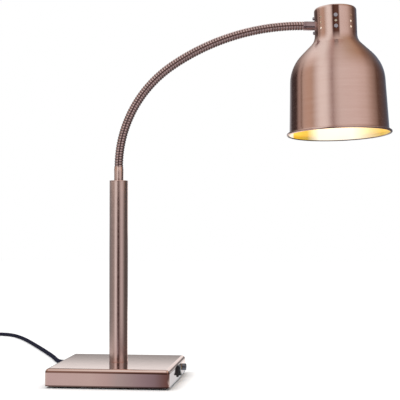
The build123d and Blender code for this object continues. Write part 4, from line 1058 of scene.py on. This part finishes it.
class LAMP_OT_post(bpy.types.Operator):
    """Turn the post, its cap and the two ferrules"""

    bl_idname = "lamp.post"
    bl_label = "Post"

    def execute(self, context):
        make_finishes(context)
        sizes = context.scene.lamp_sizes
        columns = sizes.columns
        radius = sizes.post_radius
        bore = radius - 1.5 * MM
        edge, bevel = 0.4 * MM, 0.15 * MM
        tube = joined(
            corner_run((bore, BASE_TOP), (radius - edge, BASE_TOP)),
            bow_run((radius - edge, BASE_TOP), (radius, BASE_TOP), (radius, BASE_TOP + edge), 4),
            straight_run((radius, BASE_TOP + edge), (radius, POST_TOP - bevel), 30),
            corner_run((radius, POST_TOP - bevel), (radius - bevel, POST_TOP), (bore, POST_TOP)),
            straight_run((bore, POST_TOP), (bore, BASE_TOP), 2),
        )
        post = turned_piece("post_shell", tube, columns)
        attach(post, "stand")
        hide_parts("post_tube")
        plug, pipe, under, soft = 15.4 * MM, 5.0 * MM, POST_TOP - 12 * MM, 0.8 * MM
        cap = joined(
            corner_run((pipe, under), (plug, under), (plug, POST_TOP), (radius - bevel, POST_TOP)),
            bow_run((radius - bevel, POST_TOP), (radius, POST_TOP), (radius, POST_TOP + bevel), 2),
            corner_run((radius, POST_TOP + bevel), (radius, CAP_TOP - soft)),
            arc_run((radius - soft, CAP_TOP - soft), soft, 0, 90, 6),
            straight_run((radius - soft, CAP_TOP), (pipe, CAP_TOP), 6),
            corner_run((pipe, CAP_TOP), (pipe, under)),
        )
        lid = turned_piece("post_lid", cap, columns)
        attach(lid, "stand")
        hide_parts("post_cap")
        foot, head, hollow, edge = 8.6 * MM, FERRULE_RADIUS, 4.0 * MM, 0.3 * MM
        spigot, step, shelf = 355 * MM, CAP_TOP + 20 * MM, CAP_TOP + 22 * MM
        sleeve = joined(
            corner_run((hollow, spigot), (pipe, spigot), (pipe, CAP_TOP), (foot - edge, CAP_TOP)),
            bow_run((foot - edge, CAP_TOP), (foot, CAP_TOP), (foot, CAP_TOP + edge), 3),
            straight_run((foot, CAP_TOP + edge), (foot, step), 6),
            bow_run((foot, step), (foot - 0.05 * MM, CAP_TOP + 21 * MM), (head, shelf), 4),
            straight_run((head, shelf), (head, NECK_START - edge), 2),
            bow_run((head, NECK_START - edge), (head, NECK_START), (head - edge, NECK_START), 3),
            corner_run((head - edge, NECK_START), (hollow, NECK_START), (hollow, spigot)),
        )
        lower = turned_piece("ferrule_lower", sleeve, columns)
        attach(lower, "stand")
        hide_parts("lower_ferrule")
        upper = upper_ferrule_piece(sizes, columns)
        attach(upper, "head")
        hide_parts("upper_ferrule")
        return {"FINISHED"}


def upper_ferrule_piece(sizes, columns):
    """The sleeve between the neck and the shade. Its rings are (x, radius cos a, radius sin a) in the
    ferrule's frame. Where it meets the crown, x is the nearer root of |start + x forward| = crown radius, as
    seen from above."""
    angle = np.linspace(0, 2 * np.pi, columns, endpoint=False)
    turn = np.array(LEAN.inverted())[:3, :3]

    def crown_x(radius):
        across = sheet(0 * angle, radius * np.cos(angle), radius * np.sin(angle))
        start, forward = (across @ turn.T)[:, :2], turn[:2, 0]
        half = start @ forward
        square = forward @ forward
        reach = sizes.crown_radius - 0.2 * MM
        return (-half - np.sqrt(half ** 2 - square * ((start ** 2).sum(1) - reach ** 2))) / square

    head, pipe, bore = FERRULE_RADIUS, 5.0 * MM, 3.0 * MM
    neck_end, spigot_end, edge = -NECK_TO_AXIS, -30.5 * MM, 0.4 * MM
    long = crown_x(head) - neck_end - edge
    rings = [(neck_end, bore), (neck_end, head - edge), (neck_end + 0.1 * MM, head - 0.1 * MM)]
    rings += [(neck_end + edge, head)]
    rings += [(neck_end + edge + share * long, head) for share in (0.33, 0.66, 1.0)]
    rings += [(crown_x(pipe), pipe), (spigot_end, pipe), (spigot_end, bore), (neck_end, bore)]
    rows = np.stack([sheet(x, radius * np.cos(angle), radius * np.sin(angle)) for x, radius in rings])
    return make_piece("ferrule_upper", [outward(part_of(placed(rows, FERRULE)))], [finish("copper_ferrule")])


# Bulb


def bulb_outline(bulb, inset):
    """One face of the glass as (radius, height): neck, throat arc, slope, cone arc, shoulder arc and dome."""
    widest, throat_x, stem_level = -146.4 * MM, 58 * MM, -28 * MM
    hollow, full, small = 40 * MM, 50 * MM, 24 * MM
    slope, edge = 42, -75
    cone, shoulder = (bulb - full, widest), (bulb - small, widest)
    cone_top = np.array(cone) + full * heading(slope)
    lean = math.radians(slope)
    drop = (cone_top[0] - throat_x) / math.tan(lean) + hollow / math.sin(lean)
    throat = (throat_x, cone_top[1] + drop)
    face_edge = np.array(shoulder) + small * heading(edge)
    dome = face_edge[0] / heading(edge)[0]
    centre = (0.0, face_edge[1] - dome * heading(edge)[1])
    stem, neck = 12.6 * MM - inset, 18 * MM - inset
    throat_end = np.array(throat) - (hollow + inset) * heading(slope)
    cone_start = np.array(cone) + (full - inset) * heading(slope)
    return joined(
        straight_run((stem, -20 * MM), (stem, stem_level), 2),
        straight_run((stem, stem_level), (neck, -34 * MM), 3),
        straight_run((neck, -34 * MM), (neck, throat[1]), 4),
        arc_run(throat, hollow + inset, 180, 180 + slope, 12),
        straight_run(throat_end, cone_start, 2),
        arc_run(cone, full - inset, slope, 0, 14),
        arc_run(shoulder, small - inset, 0, edge, 14),
        arc_run(centre, dome - inset, edge, -90, 12),
    )


class LAMP_OT_bulb(bpy.types.Operator):
    """Blow the reflector bulb's glass"""

    bl_idname = "lamp.bulb"
    bl_label = "Bulb"

    def execute(self, context):
        make_finishes(context)
        sizes = context.scene.lamp_sizes
        outer = bulb_outline(sizes.bulb_radius, 0.0)
        inner = bulb_outline(sizes.bulb_radius, 1.0 * MM)
        outline = np.concatenate([outer, inner[::-1], outer[:1]])
        rows = placed(turned_rows(outline, sizes.columns), HEAD)
        glass = make_piece("bulb_glass_shell", [outward(part_of(rows))], [finish("bulb_glass")])
        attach(glass, "bulb")
        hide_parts("bulb_envelope")
        dress(["bulb_cap"], "screw_steel")
        dress(["bulb_filament"], "filament")
        return {"FINISHED"}


# Pieces carried over from the construction


class LAMP_OT_base(bpy.types.Operator):
    """Finish the base, its feet and what is on and in it"""

    bl_idname = "lamp.base"
    bl_label = "Base"

    def execute(self, context):
        make_finishes(context)
        dress(["base_cover"], "copper_base")
        dress(["rubber_feet"], "black_rubber")
        plastics = ["switch_housing", "switch_rocker", "terminal_block", "dimmer_body", "cord_clamp"]
        dress(plastics, "black_plastic")
        dress(["dimmer_knob"], "knob_chrome")
        dress(["dimmer_nut", "dimmer_shaft", "switch_terminals"], "brass")
        # The bottom plate's black paint also stands in for the shade in the gap under the base
        dress(["bottom_plate"], "black_paint")
        dress(["bottom_plate_screws", "spacer_ring", "tie_pipe", "tie_nut", "tie_washer"], "zinc_plate")
        dress(["ballast_plate"], "cast_iron")
        dress(["mains_wires", "control_wires", "riser_lead"], "lead_jacket")
        return {"FINISHED"}


class LAMP_OT_fittings(bpy.types.Operator):
    """Finish the head's screws, brackets and lampholder"""

    bl_idname = "lamp.fittings"
    bl_label = "Head fittings"

    def execute(self, context):
        make_finishes(context)
        dress(["bracket_screws", "neck_bracket_screws"], "screw_steel")
        dress(["stud_nut", "neck_bracket", "lampholder_bracket"], "zinc_plate")
        dress(["lampholder_body"], "holder_ceramic")
        dress(["lampholder_shell", "lampholder_contact"], "brass")
        dress(["head_lead"], "lead_jacket")
        return {"FINISHED"}


# Stage


# Light that the metal reflects, as (angle, red, green, blue). The angle is from the camera's side of the
# lamp, in degrees with plus to the right. Between two angles the colour changes evenly.
HEAD_LIGHT = (
    (-180, 0.42, 0.45, 0.50), (-150, 0.38, 0.41, 0.46), (-141, 0.07, 0.06, 0.065), (-112, 0.05, 0.03, 0.028),
    (-106, 0.38, 0.30, 0.28), (-98, 0.52, 0.43, 0.40), (-95, 0.14, 0.09, 0.07), (-93, 0.14, 0.09, 0.07),
    (-90, 0.60, 0.51, 0.46), (-72, 0.63, 0.49, 0.41), (-62, 0.56, 0.44, 0.36), (-54, 0.71, 0.68, 0.67),
    (-43, 0.98, 1.02, 1.04), (-28, 0.98, 1.02, 1.04), (-19, 0.64, 0.60, 0.60), (-14, 0.38, 0.30, 0.30),
    (-8, 0.64, 0.60, 0.60), (3, 0.82, 0.80, 0.81), (40, 0.81, 0.76, 0.76), (62, 0.74, 0.67, 0.65),
    (80, 0.47, 0.38, 0.34), (92, 0.31, 0.24, 0.21), (100, 0.13, 0.08, 0.06), (140, 0.10, 0.11, 0.14),
    (160, 0.24, 0.31, 0.40), (180, 0.42, 0.45, 0.50),
)
OVERHEAD_LIGHT = (
    (-180, 0.22, 0.22, 0.24), (-138, 0.20, 0.18, 0.18), (-116, 0.42, 0.36, 0.34), (-96, 0.72, 0.70, 0.69),
    (-78, 0.97, 0.98, 1.00), (-38, 0.97, 1.03, 1.05), (-27, 0.74, 0.71, 0.71), (-16, 0.46, 0.35, 0.34),
    (-6, 0.63, 0.58, 0.56), (6, 0.71, 0.66, 0.64), (30, 0.60, 0.51, 0.43), (58, 0.50, 0.36, 0.26),
    (76, 0.28, 0.18, 0.13), (104, 0.17, 0.15, 0.15), (134, 0.16, 0.21, 0.29), (180, 0.24, 0.28, 0.34),
)
POST_LIGHT = (
    (-180, 0.60, 0.62, 0.66), (-140, 0.24, 0.27, 0.30), (-58, 0.33, 0.33, 0.34), (-45, 0.45, 0.45, 0.46),
    (-31, 0.84, 0.90, 0.96), (-15, 0.78, 0.80, 0.86), (-6, 0.18, 0.13, 0.13), (1, 0.04, 0.02, 0.02),
    (14, 0.04, 0.02, 0.02), (26, 0.38, 0.36, 0.38), (37, 0.60, 0.60, 0.64), (54, 0.60, 0.60, 0.64),
    (75, 0.28, 0.28, 0.30), (92, 0.11, 0.11, 0.11), (140, 0.11, 0.11, 0.12), (180, 0.60, 0.62, 0.66),
)
FLOOR_LIGHT = (
    (-180, 0.60, 0.60, 0.62), (-60, 0.72, 0.72, 0.74), (-31, 0.69, 0.68, 0.73), (-9, 0.61, 0.59, 0.64),
    (0, 0.47, 0.47, 0.54), (8, 0.36, 0.33, 0.39), (14, 0.28, 0.24, 0.29), (19, 0.19, 0.12, 0.12),
    (28, 0.30, 0.25, 0.25), (44, 0.74, 0.80, 0.84), (180, 0.76, 0.81, 0.85),
)
FIELD_LIGHT = FLOOR_LIGHT[:8] + ((30, 0.16, 0.11, 0.11), (180, 0.16, 0.12, 0.12))
# Light that the base's front face reflects, as (x, red, green, blue) with x along the face in metres
BASE_LIGHT = (
    (-0.130, 0.68, 0.64, 0.70), (-0.030, 0.67, 0.65, 0.68), (0.0, 0.60, 0.56, 0.60),
    (0.020, 0.50, 0.51, 0.56), (0.062, 0.36, 0.33, 0.40), (0.083, 0.29, 0.26, 0.32),
    (0.095, 0.22, 0.17, 0.19), (0.104, 0.19, 0.12, 0.12),
)
HEAD_CARD = (0.40, 0.0, 0.50)
HEAD_CARD_RADIUS = 1.15
POST_CARD_RADIUS = 1.10
POST_CARD_TOP = 0.43
CARD_LIFT = 1 * MM


def light_at(places, stops):
    """Colours at places, evenly mixed between the stops."""
    stops = np.array(stops)
    return np.stack([np.interp(places, stops[:, 0], stops[:, channel]) for channel in (1, 2, 3)], -1)


def card(name, rows, colours):
    """A sheet that only reflections show, lit by itself in colours given for its points."""
    material = bpy.data.materials.new(name)
    material.use_nodes = True
    tree = material.node_tree
    tree.nodes.clear()
    tone = node(tree, "ShaderNodeAttribute", attribute_name="light").outputs["Color"]
    light = node(tree, "ShaderNodeEmission", {"Color": tone, "Strength": 1.0})
    output = node(tree, "ShaderNodeOutputMaterial")
    tree.links.new(light.outputs[0], output.inputs["Surface"])
    made = make_piece(name, [part_of(rows, closed=False)], [material], weld=False)
    layer = made.data.color_attributes.new("light", "FLOAT_COLOR", "POINT")
    full = np.concatenate([colours, np.ones(colours.shape[:2] + (1,))], -1)
    layer.data.foreach_set("color", full.reshape(-1).astype(np.float32))
    for ray in ("camera", "diffuse", "shadow", "transmission", "volume_scatter"):
        setattr(made, f"visible_{ray}", False)


def head_cards():
    """A tent round the head: an upright wall, then a dome. At half-turn f and rise t the dome's direction is
    (2 cos t cos t cos f sin f, 1 - 2 cos t cos t cos f cos f, 2 cos t sin t cos f), so each band of light
    runs straight up an upright or leaning wall of the shade. From 18 to 40 degrees of rise the overhead
    light takes over from the head light."""
    angle = np.arange(-176.0, 176.1, 2.0)
    half = np.radians(angle / 2)[None, :]
    rise = np.array([0, 3, 6, 9, 12, 16, 20, 25, 30, 35, 40, 45, 50, 56, 62, 68, 74, 80, 85])[:, None]
    cosine, sine = np.cos(np.radians(rise)), np.sin(np.radians(rise))
    flat = cosine ** 2
    aside = np.cos(half)
    dome = sheet(2 * flat * aside * np.sin(half), 1 - 2 * flat * aside ** 2, 2 * cosine * sine * aside)
    dome = np.array(HEAD_CARD) + HEAD_CARD_RADIUS * dome
    wall = dome[:1].copy()
    wall[..., 2] = POST_CARD_TOP
    share = np.clip((np.concatenate([rise[:1], rise]) - 18) / (40 - 18), 0, 1)[..., None]
    colours = light_at(angle, HEAD_LIGHT) * (1 - share) + light_at(angle, OVERHEAD_LIGHT) * share
    card("card_head", np.concatenate([wall, dome]), colours)


def post_cards():
    """A ring round the post. It runs out over the floor, with own colours near the base, and up a wall."""
    angle = np.arange(-150.0, 150.1, 2.0)
    turn = np.radians(angle)[None, :]
    out = np.array([0.03, 0.20, 0.27, 0.45, 0.75, POST_CARD_RADIUS, POST_CARD_RADIUS])[:, None]
    level = np.array([FLOOR + CARD_LIFT] * 6 + [POST_CARD_TOP])[:, None]
    near, field, far = (light_at(angle, table) for table in (FLOOR_LIGHT, FIELD_LIGHT, POST_LIGHT))
    rows = sheet(out * np.sin(turn), -out * np.cos(turn), level)
    card("card_post", rows, np.stack([near, near, field, field, far, far, far]))


def back_card():
    """A low sheet behind the lamp that the base's top reflects: grey below, white from a hand's height up."""
    away = 1.6
    level = np.array([FLOOR + CARD_LIFT, 0.212, 0.235, 0.251, 0.264, 0.45])[:, None]
    tone = np.array([0.26, 0.26, 0.50, 0.83, 1.0, 1.0])[:, None, None]
    rows = sheet(np.linspace(-away, away, 9)[None, :], away, level)
    card("card_back", rows, tone * np.array([1.0, 0.99, 0.99]) * np.ones_like(rows))


def front_card():
    """A low sheet before the base. Its columns run the way that the front face reflects the camera's view:
    from (x, front) to x + (x - camera x) times the distance over the camera's distance to the face."""
    front, camera_x, reach = -BASE_HALF, 0.368, 1.81
    x = np.linspace(-0.130, 0.160, 59)[None, :]
    out = np.linspace(0.0, 0.45, 10)[:, None]
    rows = sheet(x + (x - camera_x) * out / reach, front - CARD_LIFT - out, FLOOR + 2 * CARD_LIFT)
    card("card_front", rows, light_at(x + 0 * out, BASE_LIGHT))


def seen_share(tree):
    """One for rays from the camera, from gloss and through glass, else zero."""
    path = node(tree, "ShaderNodeLightPath")
    seen = sums(tree, "ADD", path.outputs["Is Camera Ray"], path.outputs["Is Glossy Ray"])
    return sums(tree, "MINIMUM", sums(tree, "ADD", seen, path.outputs["Is Transmission Ray"]), 1.0)


class LAMP_OT_stage(bpy.types.Operator):
    """Set the pale floor, the room's light and the studio's cards"""

    bl_idname = "lamp.stage"
    bl_label = "Stage"

    def execute(self, context):
        chosen = context.scene.lamp_stage
        scene = context.scene
        scene.view_settings.view_transform = "Standard"
        self.floor(chosen)
        self.room(scene, chosen)
        head_cards()
        post_cards()
        back_card()
        front_card()
        lamp = bpy.data.lights.new("key", "AREA")
        lamp.shape = "RECTANGLE"
        lamp.size, lamp.size_y = 1.6, 1.2
        lamp.energy = chosen.key_power
        key = bpy.data.objects.new("key", lamp)
        key.location = (-0.7, -1.1, 1.9)
        key.rotation_euler = (Vector((0.1, 0.0, 0.1)) - key.location).to_track_quat("-Z", "Y").to_euler()
        key.visible_glossy = False
        key.visible_camera = False
        scene.collection.objects.link(key)
        return {"FINISHED"}

    def floor(self, chosen):
        """A flat floor at the feet. The camera and gloss see a white of its own on it, and shadows dim the
        rest. Under the base, where the larger of |x| and |y| is less than half its width, it has none."""
        side = np.linspace(-6.0, 6.0, 5)
        rows = sheet(side[None, :], side[:, None], FLOOR)
        material, tree, shader = new_material("floor_white")
        surface = shader.outputs[0].links[0].to_socket
        place = tree.nodes.new("ShaderNodeTexCoord").outputs["Object"]
        grain = node(tree, "ShaderNodeTexNoise", {"Vector": place, "Scale": 40.0, "Detail": 2.0})
        colour = chosen.floor_colour
        tone = mixed(tree, grain.outputs["Fac"], opaque(colour), opaque(scaled(colour, 0.98)))
        feed(tree, shader, {"Base Color": tone})
        shader.inputs["Roughness"].default_value = 0.9
        shader.inputs["Specular IOR Level"].default_value = 0.0
        axes = node(tree, "ShaderNodeSeparateXYZ", {0: place}).outputs
        reach = sums(tree, "MAXIMUM", sums(tree, "ABSOLUTE", axes["X"]), sums(tree, "ABSOLUTE", axes["Y"]))
        share = ramp(tree, reach, BASE_HALF, BASE_HALF + 24 * MM, 0.0, chosen.floor_glow)
        strength = sums(tree, "MULTIPLY", seen_share(tree), share)
        white = node(tree, "ShaderNodeEmission", {"Color": (1.0, 1.0, 1.0, 1.0), "Strength": strength})
        both = node(tree, "ShaderNodeAddShader", {0: shader.outputs[0], 1: white.outputs[0]})
        tree.links.new(both.outputs[0], surface)
        make_piece("floor", [part_of(rows, closed=False)], [material])

    def room(self, scene, chosen):
        """White for the camera, gloss and glass, and a softer light on the object."""
        world = bpy.data.worlds.new("room")
        world.use_nodes = True
        scene.world = world
        tree = world.node_tree
        tree.nodes.clear()
        rest = 1.0 - chosen.world_light
        strength = sums(tree, "MULTIPLY_ADD", seen_share(tree), rest, chosen.world_light)
        sky = node(tree, "ShaderNodeBackground", {"Color": (1.0, 1.0, 1.0, 1.0), "Strength": strength})
        output = node(tree, "ShaderNodeOutputWorld")
        tree.links.new(sky.outputs[0], output.inputs["Surface"])


# Panel and start


class LAMP_PT_panel(bpy.types.Panel):
    """Lists the steps that build the lamp"""

    bl_idname = "LAMP_PT_panel"
    bl_label = "Heat lamp"
    bl_space_type = "VIEW_3D"
    bl_region_type = "UI"
    bl_category = "Heat lamp"

    def draw(self, context):
        layout = self.layout
        for group in ("lamp_sizes", "lamp_finishes", "lamp_stage"):
            chosen = getattr(context.scene, group)
            box = layout.box()
            for key in chosen.__annotations__:
                box.prop(chosen, key)
        for operator in OPERATORS:
            layout.operator(operator.bl_idname)


OPERATORS = (
    LAMP_OT_camera,
    LAMP_OT_cord,
    LAMP_OT_neck,
    LAMP_OT_shade,
    LAMP_OT_post,
    LAMP_OT_bulb,
    LAMP_OT_base,
    LAMP_OT_fittings,
    LAMP_OT_stage,
)
GROUPS = (LampSizes, LampFinishes, LampStage)


def register():
    for cls in GROUPS + OPERATORS + (LAMP_PT_panel,):
        bpy.utils.register_class(cls)
    bpy.types.Scene.lamp_sizes = PointerProperty(type=LampSizes)
    bpy.types.Scene.lamp_finishes = PointerProperty(type=LampFinishes)
    bpy.types.Scene.lamp_stage = PointerProperty(type=LampStage)


def unregister():
    del bpy.types.Scene.lamp_sizes
    del bpy.types.Scene.lamp_finishes
    del bpy.types.Scene.lamp_stage
    for cls in reversed(GROUPS + OPERATORS + (LAMP_PT_panel,)):
        bpy.utils.unregister_class(cls)


def main():
    """Build the lamp piece by piece."""
    register()
    bpy.ops.lamp.camera()
    bpy.ops.lamp.cord()
    bpy.ops.lamp.neck()
    bpy.ops.lamp.shade()
    bpy.ops.lamp.post()
    bpy.ops.lamp.bulb()
    bpy.ops.lamp.base()
    bpy.ops.lamp.fittings()
    bpy.ops.lamp.stage()


if __name__ == "__main__":
    main()
